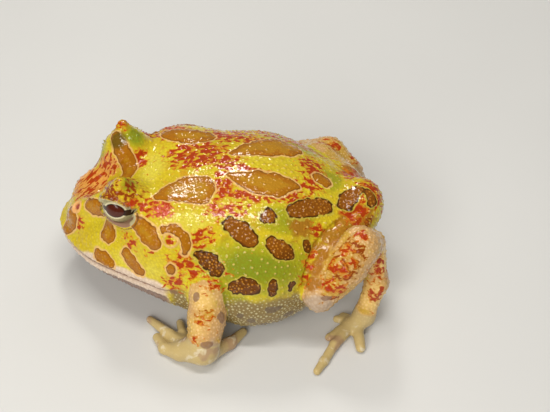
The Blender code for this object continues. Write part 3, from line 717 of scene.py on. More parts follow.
WASHES = {"green": GREEN, "lemon": LEMON, "brown": BROWN, "pink": PINK, "taupe": TAUPE,
          "olive": OLIVE, "amber": AMBER}
MOTTLES = {"red": RED, "streak": STREAK, "umber": UMBER}


@dataclass(frozen=True)
class Fold:
    """A fold of the skin along a line, raised or pressed in."""

    line: tuple[Triple, ...]
    height: float
    width: float
    sides: Sides = Sides.BOTH

    def rise(self, p: Points) -> Values:
        """How far the fold lifts each point."""
        q = on_left(p) if self.sides is Sides.BOTH else p
        joints = [(place, 0.1) for place in self.line]
        return self.height * bump(chain_distance(q, joints, 0.5), self.width)


FOLDS = (
    Fold(((9.6, -12.6, 19.2), (12.6, -8.6, 18.8), (14.6, -3.6, 16.8)), 0.22, 0.6),
    Fold(((15.9, 1.0, 14.2), (16.8, 1.9, 12.6), (17.5, 2.4, 10.6), (17.8, 2.5, 8.6)), -0.3, 0.32),
    Fold(((6.6, 18.6, 17.2), (4.8, 20.6, 17.3), (3.4, 22.6, 17.3), (2.6, 24.0, 17.0)), -0.18, 0.28),
    Fold(((16.2, -6.6, 9.0), (16.8, -4.6, 9.4), (16.6, -3.2, 10.4)), -0.2, 0.3),
    Fold(((6.5, 18.5, 17.0), (8.5, 16.7, 16.6), (10.6, 15.3, 15.8), (12.6, 14.4, 14.4), (14.1, 14.0, 12.1),
          (15.8, 13.9, 9.8)), -0.35, 0.28, Sides.ONE),
    Fold(((9.7, 21.4, 18.9), (11.1, 19.1, 17.3), (12.6, 17.5, 15.6), (14.3, 16.7, 13.8), (16.0, 16.6, 12.1)),
         -0.3, 0.28, Sides.ONE),
    Fold(((6.6, 19.7, 16.4), (9.0, 17.7, 15.9), (11.3, 16.1, 15.0), (13.0, 15.4, 13.2), (15.0, 15.1, 11.8)),
         0.18, 0.6, Sides.ONE),
)


def scatter(points: Points, spacing: Values, seed: int) -> np.ndarray:
    """Picks points so that none lies nearer to another than its own spacing.

    Args:
        points: Candidates.
        spacing: The least distance kept around each.
        seed: Seed of the random order.

    Returns:
        The indices of the points picked.
    """
    order = np.random.default_rng(seed).permutation(len(points))
    cell = float(spacing.max())
    grid: dict[tuple[int, int, int], list[int]] = {}
    keys = np.floor(points / cell).astype(int)
    picked = []
    for i in order:
        x, y, z = keys[i]
        near = [j for a in (-1, 0, 1) for b in (-1, 0, 1) for c in (-1, 0, 1)
                for j in grid.get((x + a, y + b, z + c), ())]
        if near:
            gaps = points[near] - points[i]
            if (np.einsum("ij,ij->i", gaps, gaps) < spacing[i] ** 2).any():
                continue
        grid.setdefault((int(x), int(y), int(z)), []).append(int(i))
        picked.append(int(i))
    return np.array(picked)


def nearest(points: Points, seeds: Points) -> tuple[Values, np.ndarray]:
    """Finds the seed nearest to each point.

    Args:
        points: The points.
        seeds: The seeds.

    Returns:
        For each point the distance to its seed, and the seed's index.
    """
    tree = KDTree(len(seeds))
    for i, seed in enumerate(seeds):
        tree.insert(seed, i)
    tree.balance()
    found = [tree.find(point)[1:] for point in points]
    return np.array([f[1] for f in found]), np.array([f[0] for f in found], int)


def lattice_noise(p: Points, size: float, seed: int) -> Values:
    """Smooth random values between -1 and 1.

    Args:
        p: The points.
        size: About how far apart they change.
        seed: Seed of the values.

    Returns:
        A value for each point.
    """
    q = p / size
    base = np.floor(q).astype(np.int64)
    part = q - base
    part = part * part * (3.0 - 2.0 * part)
    total = np.zeros(len(p))
    for corner in range(8):
        step = np.array([corner & 1, corner >> 1 & 1, corner >> 2 & 1])
        cell = base + step
        mixed = cell[:, 0] * 73856093 ^ cell[:, 1] * 19349663 ^ cell[:, 2] * 83492791 ^ seed * 2654435
        mixed = (mixed ^ (mixed >> 13)) * 1274126177
        value = ((mixed ^ (mixed >> 16)) & 0xFFFF) / 32767.5 - 1.0
        share = np.prod(np.where(step == 1, part, 1.0 - part), axis=1)
        total += share * value
    return total


def mesh_points(mesh: bpy.types.Mesh) -> Points:
    """The mesh's vertices."""
    flat = np.empty(len(mesh.vertices) * 3)
    mesh.vertices.foreach_get("co", flat)
    return flat.reshape(-1, 3)


def mesh_normals(mesh: bpy.types.Mesh) -> Points:
    """The mesh's vertex normals."""
    flat = np.empty(len(mesh.vertices) * 3)
    mesh.vertex_normals.foreach_get("vector", flat)
    return flat.reshape(-1, 3)


def set_points(mesh: bpy.types.Mesh, points: Points) -> None:
    """Moves the mesh's vertices."""
    mesh.vertices.foreach_set("co", np.ascontiguousarray(points, np.float64).ravel())
    mesh.update()


def remesh(obj: bpy.types.Object, voxel: float) -> None:
    """Fuses the object's shells into one even mesh.

    Args:
        obj: The object.
        voxel: The length of the new mesh's edges.
    """
    modifier = obj.modifiers.new("fuse", "REMESH")
    modifier.mode = "VOXEL"
    modifier.voxel_size = voxel
    graph = bpy.context.evaluated_depsgraph_get()
    made = bpy.data.meshes.new_from_object(obj.evaluated_get(graph))
    obj.modifiers.clear()
    old, obj.data = obj.data, made
    bpy.data.meshes.remove(old)


def link(obj: bpy.types.Object) -> bpy.types.Object:
    """Puts a new object into the scene."""
    bpy.context.scene.collection.objects.link(obj)
    return obj


def store(mesh: bpy.types.Mesh, name: str, values: Values) -> None:
    """Keeps a number for each vertex under a name that the material reads."""
    layer = mesh.attributes.new(name, "FLOAT", "POINT")
    layer.data.foreach_set("value", np.ascontiguousarray(values, np.float32))


@dataclass
class Skin:
    """The one skin over all parts of flesh, with its relief and the tones that it carries."""

    body: Body = BODY
    rough_voxel: float = 0.5
    middle_voxel: float = 0.3
    fine_voxel: float = 0.15
    quick_voxel: float = 0.26
    granule_gap: float = 1.05
    granule_radius: float = 0.36
    granule_height: float = 0.11
    grain_gap: float = 0.5
    grain_radius: float = 0.22
    grain_height: float = 0.05
    spot_rise: float = 0.12
    groove_depth: float = 0.32
    groove_width: float = 0.17
    nostril: Triple = (3.8, -22.35, 13.9)
    eardrum: Triple = (13.4, -6.5, 17.5)
    eardrum_radius: float = 1.1
    mottle_fall: float = 1.3
    right_spot_drop: float = 0.32
    lid_level: float = 17.6
    lid_fall: float = -0.27
    lip_height: float = 1.2
    lip_fade: Span = (1.0, -0.5)
    front_fade: Span = (-22.4, -19.0)
    throat_fade: Span = (-0.5, -1.4)
    belly_fade: Span = (12.6, 8.0)
    upper_fade: Span = (12.0, 18.0)
    high_fade: Span = (14.5, 18.0)
    dot_fade: Span = (-12.0, 0.0)
    seed: int = 7

    def build(self) -> bpy.types.Object:
        """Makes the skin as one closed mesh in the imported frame.

        Returns:
            The skin, with its tones stored on its vertices.
        """
        obj = self.rough()
        fine = self.fine_voxel
        for voxel, rounds in ((self.rough_voxel, 5), (self.middle_voxel, 2), (fine, 2)):
            remesh(obj, voxel)
            set_points(obj.data, slide(mesh_points(obj.data), self.body.skin, rounds))
            log.info("skin at %.2f mm: %d points", voxel, len(obj.data.vertices))
        self.carve(obj.data)
        obj.data.shade_smooth()
        return obj

    def rough(self) -> bpy.types.Object:
        """Balls and cones that overlap, in the rough shape of the frog."""
        bm = bmesh.new()
        size = Matrix.Diagonal((15.0, 24.0, 9.5, 1.0))
        made = bmesh.ops.create_icosphere(bm, subdivisions=5, radius=1.0,
                                          matrix=Matrix.Translation((0, 0, 11)) @ size)
        points = np.array([v.co[:] for v in made["verts"]])
        for vertex, place in zip(made["verts"], slide(points, self.body.torso, 8)):
            vertex.co = place
        chains = [chain for limb in self.body.limbs for chain in (*limb.chains, *limb.digit_chains())]
        chains.extend(self.body.head.horns)
        for chain in chains:
            for centre, radius in chain:
                bmesh.ops.create_icosphere(bm, subdivisions=3, radius=radius,
                                           matrix=Matrix.Translation(centre))
            for (a, radius_a), (b, radius_b) in zip(chain[:-1], chain[1:]):
                way = Vector(b) - Vector(a)
                turn = way.to_track_quat("Z", "Y").to_matrix().to_4x4()
                place = Matrix.Translation((Vector(a) + Vector(b)) / 2) @ turn
                bmesh.ops.create_cone(bm, cap_ends=True, segments=24, radius1=radius_a,
                                      radius2=radius_b, depth=way.length, matrix=place)
        mesh = bpy.data.meshes.new("frog_skin")
        bm.to_mesh(mesh)
        bm.free()
        return link(bpy.data.objects.new("frog_skin", mesh))

    def carve(self, mesh: bpy.types.Mesh) -> None:
        """Works the relief into the skin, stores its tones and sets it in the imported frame.

        Args:
            mesh: The smooth skin.
        """
        p, normal = mesh_points(mesh), mesh_normals(mesh)
        tones = self.tones(p)
        head = self.head_relief(p)
        softness = 1.0 - ramp(tones["hand"], 0.3, 0.9) * 0.85
        on_lid = 1.0 - ramp(self.eye_edge(p), 0.7, -0.1)
        granules = tones["granule"] * self.granule_height + tones["grain"] * self.grain_height
        granules += tones["flank_spot_grain"] * self.grain_height
        height = head + granules * softness * on_lid
        rise = ramp(-tones[SpotKind.BACK.value], -0.05, 0.55)
        height += self.spot_rise * rise * on_lid
        height += 0.10 * lattice_noise(p, 2.6, 3) * on_lid
        resting = ramp(p[:, 2], 0.02, 0.5)
        p = p + normal * (height * resting)[:, None]
        p[:, 2] = np.maximum(p[:, 2], 0.0)
        for name, values in tones.items():
            store(mesh, name, values)
        set_points(mesh, PLACE.to_metres(p))

    def eye_edge(self, p: Points) -> Values:
        """How far points lie outside the lids' almond, large away from the eyes."""
        q = on_left(p)
        edge, out, _ = self.body.head.socket.lids(q)
        return np.where(out > 0, edge, 9.0)

    def head_relief(self, p: Points) -> Values:
        """Heights of the mouth's groove, nostrils, eardrums and folds.

        Args:
            p: The smooth skin's points.

        Returns:
            How far each point is raised.
        """
        q = on_left(p)
        below = p[:, 2] - self.body.head.mouth.at(p[:, 1])
        jaw = self.body.head.jaw_share(p)
        height = -self.groove_depth * jaw * bump(below, self.groove_width)
        from_nostril = apart(q, self.nostril)
        height += 0.2 * bump(from_nostril - 0.8, 0.28) - 0.55 * bump(from_nostril, 0.5)
        from_drum = apart(q, self.eardrum)
        height += 0.14 * bump(from_drum - self.eardrum_radius, 0.22)
        height -= 0.10 * ramp(self.eardrum_radius - from_drum, 0.0, 0.5)
        for fold in FOLDS:
            height += fold.rise(p)
        socket = self.eye_edge(p)
        height += 0.10 * bump(socket - 0.35, 0.2) - 0.10 * bump(socket - 0.95, 0.22)
        return height

    def tones(self, p: Points) -> dict[str, Values]:
        """The numbers that the skin's colours follow.

        Args:
            p: The smooth skin's points.

        Returns:
            Values for each point, by name.
        """
        far = 3.0
        tones = {kind.value: np.full(len(p), far) for kind in SpotKind}
        lower = self.body.trunk.turned(p, self.right_spot_drop)
        for spot in SPOTS:
            known = tones[spot.kind.value]
            np.minimum(known, spot.distance(p, 1), out=known)
            if spot.sides is Sides.BOTH:
                twin = lower if spot.kind is SpotKind.FLANK else p
                np.minimum(known, spot.distance(twin, -1), out=known)
        for name, group in WASHES.items():
            tones[name] = patched(p, group)
        for name, group in MOTTLES.items():
            tones[name] = 1.0 - self.mottle_fall * (1.0 - np.clip(patched(p, group), 0.0, 1.0)) ** 2
        torso = self.body.torso(p)
        limb = np.full(len(p), 9.0)
        hand = np.full(len(p), 9.0)
        for each in self.body.limbs:
            near = self.body.reach(each, p)
            limb[near] = np.minimum(limb[near], each.distance(p[near]))
            ends = (each.chains[-1][-2:], *each.digit_chains())
            for chain in ends:
                hand[near] = np.minimum(hand[near], chain_distance(p[near], chain, 0.5))
        tones["limb"] = ramp(torso - limb, -0.4, 0.8)
        tones["hand"] = ramp(-hand, -0.9, -0.05) * tones["limb"]
        below = p[:, 2] - self.body.head.mouth.at(p[:, 1])
        jaw = self.body.head.jaw_share(p)
        lip_top = self.lip_height * ramp(p[:, 1], *self.front_fade)
        tones["lip"] = ramp(below - lip_top, *self.lip_fade) * jaw * (1.0 - tones["limb"])
        tones["throat"] = ramp(below, *self.throat_fade) * jaw
        tones["belly"] = ramp(p[:, 2], *self.belly_fade) * (1.0 - jaw) * (1.0 - tones["limb"])
        tones["upper"] = ramp(p[:, 2], *self.upper_fade) * (1.0 - tones["limb"])
        tones["rough"] = 1.0 - 0.85 * tones["hand"]
        tones["pale"] = np.maximum(patched(p, PALE), tones["hand"])
        tones["mouth"] = jaw * bump(below, 0.2)
        socket = self.eye_edge(p)
        tones["lid"] = ramp(socket, 0.42, 0.22)
        lid_low = p[:, 2] - self.lid_level - self.lid_fall * (p[:, 1] - self.body.head.socket.centre[1])
        tones["lid_low"] = tones["lid"] * ramp(lid_low, 0.6, -0.3)
        tones["lid_line"] = bump(socket - 0.5, 0.12)
        q = on_left(p)
        from_nostril = apart(q, self.nostril)
        tones["nostril_ring"] = ramp(from_nostril, 1.25, 1.0)
        tones["nostril"] = bump(from_nostril, 0.55)
        tones["drum_ring"] = bump(apart(q, self.eardrum) - self.eardrum_radius, 0.3)
        tones["granule"], tones["grain"] = self.granules(p)
        for kind in (SpotKind.BACK, SpotKind.FLANK):
            tones[f"{kind.value}_grain"] = tones["grain"] * ramp(-tones[kind.value], -0.1, 0.3)
        tones["flank_high"] = ramp(-tones["flank_spot"], 0.0, 0.3) * ramp(p[:, 2], *self.high_fade)
        plain = 1.0 - 0.6 * np.maximum(tones["limb"], tones["belly"])
        # pale tips on the granules: partly the skin's own pale tubercles, partly painted highlight on their
        # tops
        tones["dot"] = tones["granule"] * ramp(p[:, 1], *self.dot_fade) * plain
        # painted shade: a faint darkening in the valleys between the grain, away from the hands
        tones["painted_valley_shade"] = tones["grain"] * tones["rough"]
        tones["belly_grain"] = tones["grain"] * tones["belly"]
        tones["limb_grain"] = tones["grain"] * tones["limb"] * (1.0 - tones["hand"])
        return tones

    def granules(self, p: Points) -> tuple[Values, Values]:
        """Rounded granules and the finer grain between them.

        Args:
            p: The smooth skin's points.

        Returns:
            The granules' share of their height at each point, and the grain's, from 0 to 1.
        """
        made = []
        layers = ((self.granule_gap, self.granule_radius, 0), (self.grain_gap, self.grain_radius, 1))
        for gap, radius, layer in layers:
            spacing = gap * (1.0 + 0.3 * lattice_noise(p, 4.0, self.seed + layer))
            picked = scatter(p, spacing, self.seed + layer)
            size = np.random.default_rng(self.seed + 10 + layer).uniform(0.55, 1.15, len(picked))
            distance, index = nearest(p, p[picked])
            made.append(np.clip(1.0 - (distance / (radius * size[index])) ** 2, 0.0, 1.0))
            log.info("granules: %d", len(picked))
        return made[0], made[1]


@dataclass
class Eye:
    """A glossy eyeball between the lids, with its iris and pupil."""

    side: int
    socket: EyeSocket = EyeSocket()
    pupil_tilt: float = 0.2
    cornea_height: float = 0.18
    cornea_span: Span = (1.9, 2.9)
    segments: int = 96
    rings: int = 64

    def build(self) -> bpy.types.Object:
        """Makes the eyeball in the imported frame, with places across its face on its vertices."""
        name = "eye_ball_left" if self.side > 0 else "eye_ball_right"
        bm = bmesh.new()
        bmesh.ops.create_uvsphere(bm, u_segments=self.segments, v_segments=self.rings,
                                  radius=self.socket.radius)
        mesh = bpy.data.meshes.new(name)
        bm.to_mesh(mesh)
        bm.free()
        gaze, line, up = self.socket.axes()
        offset = mesh_points(mesh)
        across, over, out = offset[:, 0], offset[:, 1], offset[:, 2]
        cornea = self.cornea_height * ramp(out, *self.cornea_span)
        place = across[:, None] * line + over[:, None] * up + (out + cornea)[:, None] * gaze
        place = place + np.array(self.socket.centre)
        place[:, 0] *= self.side
        tilt_cos, tilt_sin = math.cos(self.pupil_tilt), math.sin(self.pupil_tilt)
        store(mesh, "across", tilt_cos * across + tilt_sin * over)
        store(mesh, "over", tilt_cos * over - tilt_sin * across)
        set_points(mesh, PLACE.to_metres(place))
        if self.side < 0:
            mesh.flip_normals()
        mesh.shade_smooth()
        return link(bpy.data.objects.new(name, mesh))


def linear(hexcode: str) -> tuple[float, float, float, float]:
    """An sRGB hex colour as the linear one that shaders take."""
    channels = [int(hexcode[i:i + 2], 16) / 255 for i in (1, 3, 5)]
    made = [c / 12.92 if c <= 0.04045 else ((c + 0.055) / 1.055) ** 2.4 for c in channels]
    return made[0], made[1], made[2], 1.0


def per_metre(size_mm: float) -> float:
    """The texture scale at which a pattern repeats over about this size."""
    return 1.0 / (size_mm * MM)


def add_node(tree: bpy.types.NodeTree, kind: str, inputs: Mapping[Any, Any] | None = None,
             **settings: Any) -> bpy.types.Node:
    """Adds a node with its settings and links.

    Args:
        tree: The material's nodes.
        kind: The node's type.
        inputs: Sockets to link, or values to set, by input name or number.
        settings: The node's own settings.

    Returns:
        The new node.
    """
    node = tree.nodes.new(kind)
    for name, value in settings.items():
        setattr(node, name, value)
    for key, value in (inputs or {}).items():
        if isinstance(value, bpy.types.NodeSocket):
            tree.links.new(value, node.inputs[key])
        else:
            node.inputs[key].default_value = value
    return node


def new_material(name: str) -> tuple[bpy.types.Material, bpy.types.NodeTree]:
    """An empty node material and its tree."""
    material = bpy.data.materials.new(name)
    material.use_nodes = True
    material.node_tree.nodes.clear()
    return material, material.node_tree


class Grain(Enum):
    """The irregular patterns that break up edges of tone."""

    BROAD = "broad"
    BLOTCH = "blotch"
    NETWORK = "network"
    STREAKS = "streaks"
    EDGE = "edge"
    FINE = "fine"


@dataclass(frozen=True)
class Pattern:
    """The size of a grain, how fine and twisted it is, and the way it is drawn out."""

    grain: Grain
    size_mm: float
    detail: float = 2.0
    swirl: float = 0.0
    stretch: float = 1.0
    along: Triple = (0.0, 1.0, 0.0)


@dataclass(frozen=True)
class Tone:
    """A layer of colour, laid where a stored number and a pattern together pass a limit."""

    source: str
    grain: Grain
    unevenness: float
    start: float
    end: float
    colour: str
    strength: float = 1.0


@dataclass(frozen=True)
class WetSkin:
    """Live amphibian skin: thin, granular and kept wet by its own slime.

    The slime lies over colour and granules as a clear film, so it gives the eye small hard
    glints on every granule and broad soft ones where it levels them.
    """

    name: str = "wet_granular_frog_skin"
    yellow: str = "#D8CC2C"
    deep_yellow: str = "#C8A61A"
    film_ior: float = 1.4
    film_roughness: float = 0.08
    skin_roughness: float = 0.45
    skin_shine: float = 0.05
    pebble_mm: float = 0.32
    pebble_height_mm: float = 0.045
    patterns: tuple[Pattern, ...] = (
        Pattern(Grain.BROAD, 5.0), Pattern(Grain.BLOTCH, 1.7, 4.0, 0.4),
        Pattern(Grain.NETWORK, 0.7, 2.4, 0.5, 1.5),
        Pattern(Grain.STREAKS, 0.4, 0.6, 0.3, 5.0, (-0.55, 0.58, 0.6)),
        Pattern(Grain.EDGE, 1.3, 1.0), Pattern(Grain.FINE, 0.35))
    tones: tuple[Tone, ...] = (
        Tone("upper", Grain.BLOTCH, 1.8, 1.0, 1.4, "#C8841C", 0.6),
        Tone("green", Grain.BLOTCH, 0.8, 0.15, 0.6, "#A4A21C"),
        Tone("green", Grain.BROAD, 0.8, 0.6, 1.1, "#7A8A1C", 0.85),
        Tone("lemon", Grain.BLOTCH, 0.8, 0.25, 0.9, "#DCCE48", 0.8),
        Tone("limb", Grain.BLOTCH, 1.2, 0.55, 0.95, "#D0A468"),
        Tone("limb", Grain.BROAD, 2.4, 0.98, 1.3, "#C8A02C", 0.7),
        Tone("amber", Grain.BLOTCH, 0.8, 0.3, 0.9, "#ECC472"),
        Tone("belly", Grain.BLOTCH, 0.9, 0.3, 0.9, "#8A7848"),
        Tone("belly_grain", Grain.FINE, 0.4, 0.15, 0.7, "#D0C698", 0.85),
        Tone("limb_grain", Grain.FINE, 0.4, 0.4, 0.9, "#E6CAA0", 0.55),
        Tone("lip", Grain.BLOTCH, 0.8, 0.3, 0.8, "#DCC6B0"),
        Tone("throat", Grain.BLOTCH, 0.6, 0.3, 0.8, "#8A7064"),
        Tone("pale", Grain.BLOTCH, 0.6, 0.4, 0.9, "#BCA48A"),
        Tone("hand", Grain.BLOTCH, 0.6, 0.4, 0.9, "#CCB67C"),
        Tone("hand", Grain.BROAD, 4.0, 1.2, 1.5, "#A6806E", 0.6),
        # pale blotches on hands and feet: partly whitish skin, partly painted highlight standing in for wet
        # glints
        Tone("hand", Grain.BLOTCH, 4.0, 1.2, 1.6, "#E2D6B4", 0.8),
        Tone("brown", Grain.BLOTCH, 1.4, 0.3, 0.75, "#A0661A", 0.9),
        Tone("brown", Grain.NETWORK, 3.0, 1.45, 1.7, "#74300A", 0.8),
        Tone("umber", Grain.NETWORK, 3.6, 0.4, 0.9, "#BC8420", 0.7),
        Tone("umber", Grain.NETWORK, 3.6, 0.82, 1.0, "#8A3606"),
        Tone("red", Grain.NETWORK, 3.6, 0.5, 0.8, "#CC7A1C", 0.85),
        Tone("red", Grain.NETWORK, 3.6, 0.82, 0.98, "#AA3008"),
        Tone("streak", Grain.STREAKS, 1.2, 0.35, 0.65, "#DA9448", 0.9),
        Tone("streak", Grain.STREAKS, 3.6, 0.9, 1.04, "#A83408"),
        Tone("pink", Grain.FINE, 2.0, 0.6, 1.1, "#D4604C", 0.85),
        Tone("drum_ring", Grain.EDGE, 0.4, 0.5, 0.9, "#DDB06A", 0.8),
        Tone("taupe", Grain.EDGE, 1.2, 0.5, 0.7, "#8A6A54", 0.85),
        # painted shade: a faint dark brown laid in the valleys between the grain
        Tone("painted_valley_shade", Grain.FINE, 0.3, 0.3, 0.0, "#8A5A0C", 0.18),
        # cream granule tips: partly own colour, partly painted highlight
        Tone("dot", Grain.FINE, 0.5, 0.65, 0.95, "#DCD480", 0.5),
    )
    spots: tuple[Tone, ...] = (
        Tone("back_spot", Grain.EDGE, 0.9, 0.40, 0.22, "#DDB06A", 0.85),
        Tone("back_spot", Grain.EDGE, 0.9, 0.08, 0.0, "#7E480C"),
        Tone("back_spot", Grain.EDGE, 0.9, -0.02, -0.2, "#A4660C"),
        Tone("back_spot", Grain.BLOTCH, 2.4, -0.6, -1.4, "#B4841A", 0.7),
        Tone("back_spot_grain", Grain.FINE, 0.6, 0.4, 0.9, "#CC9434", 0.5),
        Tone("flank_spot", Grain.EDGE, 1.5, 0.34, 0.2, "#B8A63C", 0.8),
        Tone("flank_spot", Grain.EDGE, 1.5, 0.08, -0.03, "#402204"),
        Tone("flank_spot", Grain.EDGE, 1.5, -0.08, -0.3, "#683804"),
        Tone("flank_high", Grain.BLOTCH, 1.2, 0.4, 0.9, "#8C5008", 0.7),
        Tone("flank_spot_grain", Grain.FINE, 0.6, 0.3, 0.8, "#BC7C22", 0.8),
        Tone("belly_spot", Grain.EDGE, 1.6, 0.1, -0.1, "#6C5A46", 0.8),
    )
    details: tuple[Tone, ...] = (
        Tone("olive", Grain.EDGE, 0.4, 0.2, 0.7, "#4E4812", 0.75),
        # amber granule tips over the spots: partly own colour, partly painted highlight
        Tone("dot", Grain.FINE, 0.5, 0.6, 0.95, "#DCA850", 0.5),
        Tone("nostril_ring", Grain.BLOTCH, 0.5, 0.3, 0.8, "#E2A868", 0.9),
        Tone("nostril", Grain.FINE, 0.1, 0.2, 0.7, "#96382C"),
        Tone("lid", Grain.FINE, 0.2, 0.3, 0.7, "#B8AC80"),
        Tone("lid_low", Grain.FINE, 0.2, 0.3, 0.7, "#92705A"),
        Tone("lid_line", Grain.FINE, 0.6, 0.4, 0.9, "#6A4420", 0.8),
        Tone("mouth", Grain.FINE, 0.2, 0.3, 0.9, "#6E4234", 0.9),
    )

    def make(self) -> bpy.types.Material:
        """Builds the material.

        Returns:
            The skin's material.
        """
        material, tree = new_material(self.name)
        place = add_node(tree, "ShaderNodeTexCoord").outputs["Object"]
        grains = {}
        for pattern in self.patterns:
            turn = Vector(pattern.along).to_track_quat("X", "Z").to_euler()
            placed = add_node(tree, "ShaderNodeMapping", {"Vector": place, "Rotation": turn,
                                                          "Scale": (pattern.stretch, 1.0, 1.0)},
                              vector_type="TEXTURE")
            noise = add_node(tree, "ShaderNodeTexNoise",
                             {"Vector": placed.outputs[0], "Scale": per_metre(pattern.size_mm),
                              "Detail": pattern.detail, "Roughness": 0.5, "Distortion": pattern.swirl})
            grains[pattern.grain] = noise.outputs[0]
        base = add_node(tree, "ShaderNodeMix", {0: grains[Grain.BROAD], 6: linear(self.yellow),
                                                7: linear(self.deep_yellow)}, data_type="RGBA")
        colour = base.outputs[2]
        for tone in (*self.tones, *self.spots, *self.details):
            colour = self.layer(tree, colour, tone, grains[tone.grain])
        pebbles = add_node(tree, "ShaderNodeTexVoronoi",
                           {"Vector": place, "Scale": per_metre(self.pebble_mm)}, feature="SMOOTH_F1")
        rough = add_node(tree, "ShaderNodeAttribute", attribute_name="rough").outputs["Fac"]
        relief = add_node(tree, "ShaderNodeBump",
                          {"Height": pebbles.outputs["Distance"], "Strength": rough,
                           "Distance": self.pebble_height_mm * MM}, invert=True)
        shader = add_node(tree, "ShaderNodeBsdfPrincipled",
                          {"Base Color": colour, "Roughness": self.skin_roughness, "IOR": 1.4,
                           "Specular IOR Level": self.skin_shine,
                           "Normal": relief.outputs[0], "Coat Weight": 1.0, "Coat IOR": self.film_ior,
                           "Coat Roughness": self.film_roughness})
        add_node(tree, "ShaderNodeOutputMaterial", {"Surface": shader.outputs[0]})
        return material

    @staticmethod
    def layer(tree: bpy.types.NodeTree, under: bpy.types.NodeSocket, tone: Tone,
              grain: bpy.types.NodeSocket) -> bpy.types.NodeSocket:
        """Lays one tone over the colour so far.

        Args:
            tree: The material's nodes.
            under: The colour below.
            tone: The tone laid over it.
            grain: The pattern that breaks up its edge.

        Returns:
            The colour with the tone.
        """
        known = add_node(tree, "ShaderNodeAttribute", attribute_name=tone.source)
        centred = add_node(tree, "ShaderNodeMath", {0: grain, 1: 0.5}, operation="SUBTRACT")
        uneven = add_node(tree, "ShaderNodeMath", {0: centred.outputs[0], 1: tone.unevenness,
                                                   2: known.outputs["Fac"]}, operation="MULTIPLY_ADD")
        share = add_node(tree, "ShaderNodeMapRange",
                         {"Value": uneven.outputs[0], "From Min": tone.start, "From Max": tone.end,
                          "To Min": 0.0, "To Max": tone.strength}, interpolation_type="SMOOTHSTEP")
        mixed = add_node(tree, "ShaderNodeMix", {0: share.outputs[0], 6: under, 7: linear(tone.colour)},
                         data_type="RGBA")
        return mixed.outputs[2]


@dataclass(frozen=True)
class EyeMark:
    """An oval mark on the eye's face: its middle and half axes in millimetres, and its colour."""

    middle: tuple[float, float]
    half: tuple[float, float]
    colour: str


@dataclass(frozen=True)
class EyeGloss:
    """A live eye: a pale iris and a wide wine-dark pupil under a clear, wet cornea.

    The cornea gives the eye one hard glint, and the dark bar beside the pupil its wary look.
    """

    name: str = "wet_frog_eye"
    iris: str = "#C2B98C"
    iris_shade: str = "#8E865A"
    marks: tuple[EyeMark, ...] = (
        EyeMark((-0.3, 0.05), (1.85, 1.3), "#DDD2AA"),
        EyeMark((1.65, -0.05), (0.95, 0.5), "#33190A"),
        EyeMark((-1.95, 0.0), (0.5, 0.35), "#33240C"),
        EyeMark((-0.3, 0.1), (1.58, 1.06), "#240A04"),
        EyeMark((-0.3, 0.1), (1.42, 0.92), "#4A1602"),
    )
    edge: float = 0.05
    cornea_ior: float = 1.376
    streak_mm: float = 0.25

    def make(self) -> bpy.types.Material:
        """Builds the material from the places stored across the eye's face.

        Returns:
            The eye's material.
        """
        material, tree = new_material(self.name)
        across, over = (add_node(tree, "ShaderNodeAttribute", attribute_name=n).outputs["Fac"]
                        for n in ("across", "over"))
        face = add_node(tree, "ShaderNodeCombineXYZ", {0: across, 1: over}).outputs[0]
        streaks = add_node(tree, "ShaderNodeTexNoise", {"Vector": face, "Scale": 1.0 / self.streak_mm,
                                                        "Detail": 4.0})
        iris = add_node(tree, "ShaderNodeMix", {0: streaks.outputs[0], 6: linear(self.iris_shade),
                                                7: linear(self.iris)}, data_type="RGBA")
        colour = iris.outputs[2]
        for mark in self.marks:
            offset = add_node(tree, "ShaderNodeVectorMath", {0: face, 1: (*mark.middle, 0.0)},
                              operation="SUBTRACT")
            scaled = add_node(tree, "ShaderNodeVectorMath", {0: offset.outputs[0], 1: (*mark.half, 1.0)},
                              operation="DIVIDE")
            radius = add_node(tree, "ShaderNodeVectorMath", {0: scaled.outputs[0]}, operation="LENGTH")
            share = add_node(tree, "ShaderNodeMapRange",
                             {"Value": radius.outputs["Value"], "From Min": 1.0 + self.edge,
                              "From Max": 1.0 - self.edge}, interpolation_type="SMOOTHSTEP")
            mixed = add_node(tree, "ShaderNodeMix", {0: share.outputs[0], 6: colour,
                                                     7: linear(mark.colour)}, data_type="RGBA")
            colour = mixed.outputs[2]
        shader = add_node(tree, "ShaderNodeBsdfPrincipled",
                          {"Base Color": colour, "Roughness": 0.3, "Specular IOR Level": 0.2,
                           "Coat Weight": 1.0, "Coat IOR": self.cornea_ior, "Coat Roughness": 0.02})
        add_node(tree, "ShaderNodeOutputMaterial", {"Surface": shader.outputs[0]})
        return material


@dataclass(frozen=True)
class PaleFloor:
    """A matt painted board, plain and pale, with a faint unevenness in its paint."""

    name: str = "matt_painted_board"
    light: str = "#D8D7D3"
    dark: str = "#D0CFCB"
    patch_mm: float = 60.0

    def make(self) -> bpy.types.Material:
        """Builds the material."""
        material, tree = new_material(self.name)
        place = add_node(tree, "ShaderNodeTexCoord").outputs["Object"]
        noise = add_node(tree, "ShaderNodeTexNoise", {"Vector": place, "Scale": per_metre(self.patch_mm)})
        paint = add_node(tree, "ShaderNodeMix", {0: noise.outputs[0], 6: linear(self.light),
                                                 7: linear(self.dark)}, data_type="RGBA")
        shader = add_node(tree, "ShaderNodeBsdfPrincipled",
                          {"Base Color": paint.outputs[2], "Roughness": 0.7})
        add_node(tree, "ShaderNodeOutputMaterial", {"Surface": shader.outputs[0]})
        return material


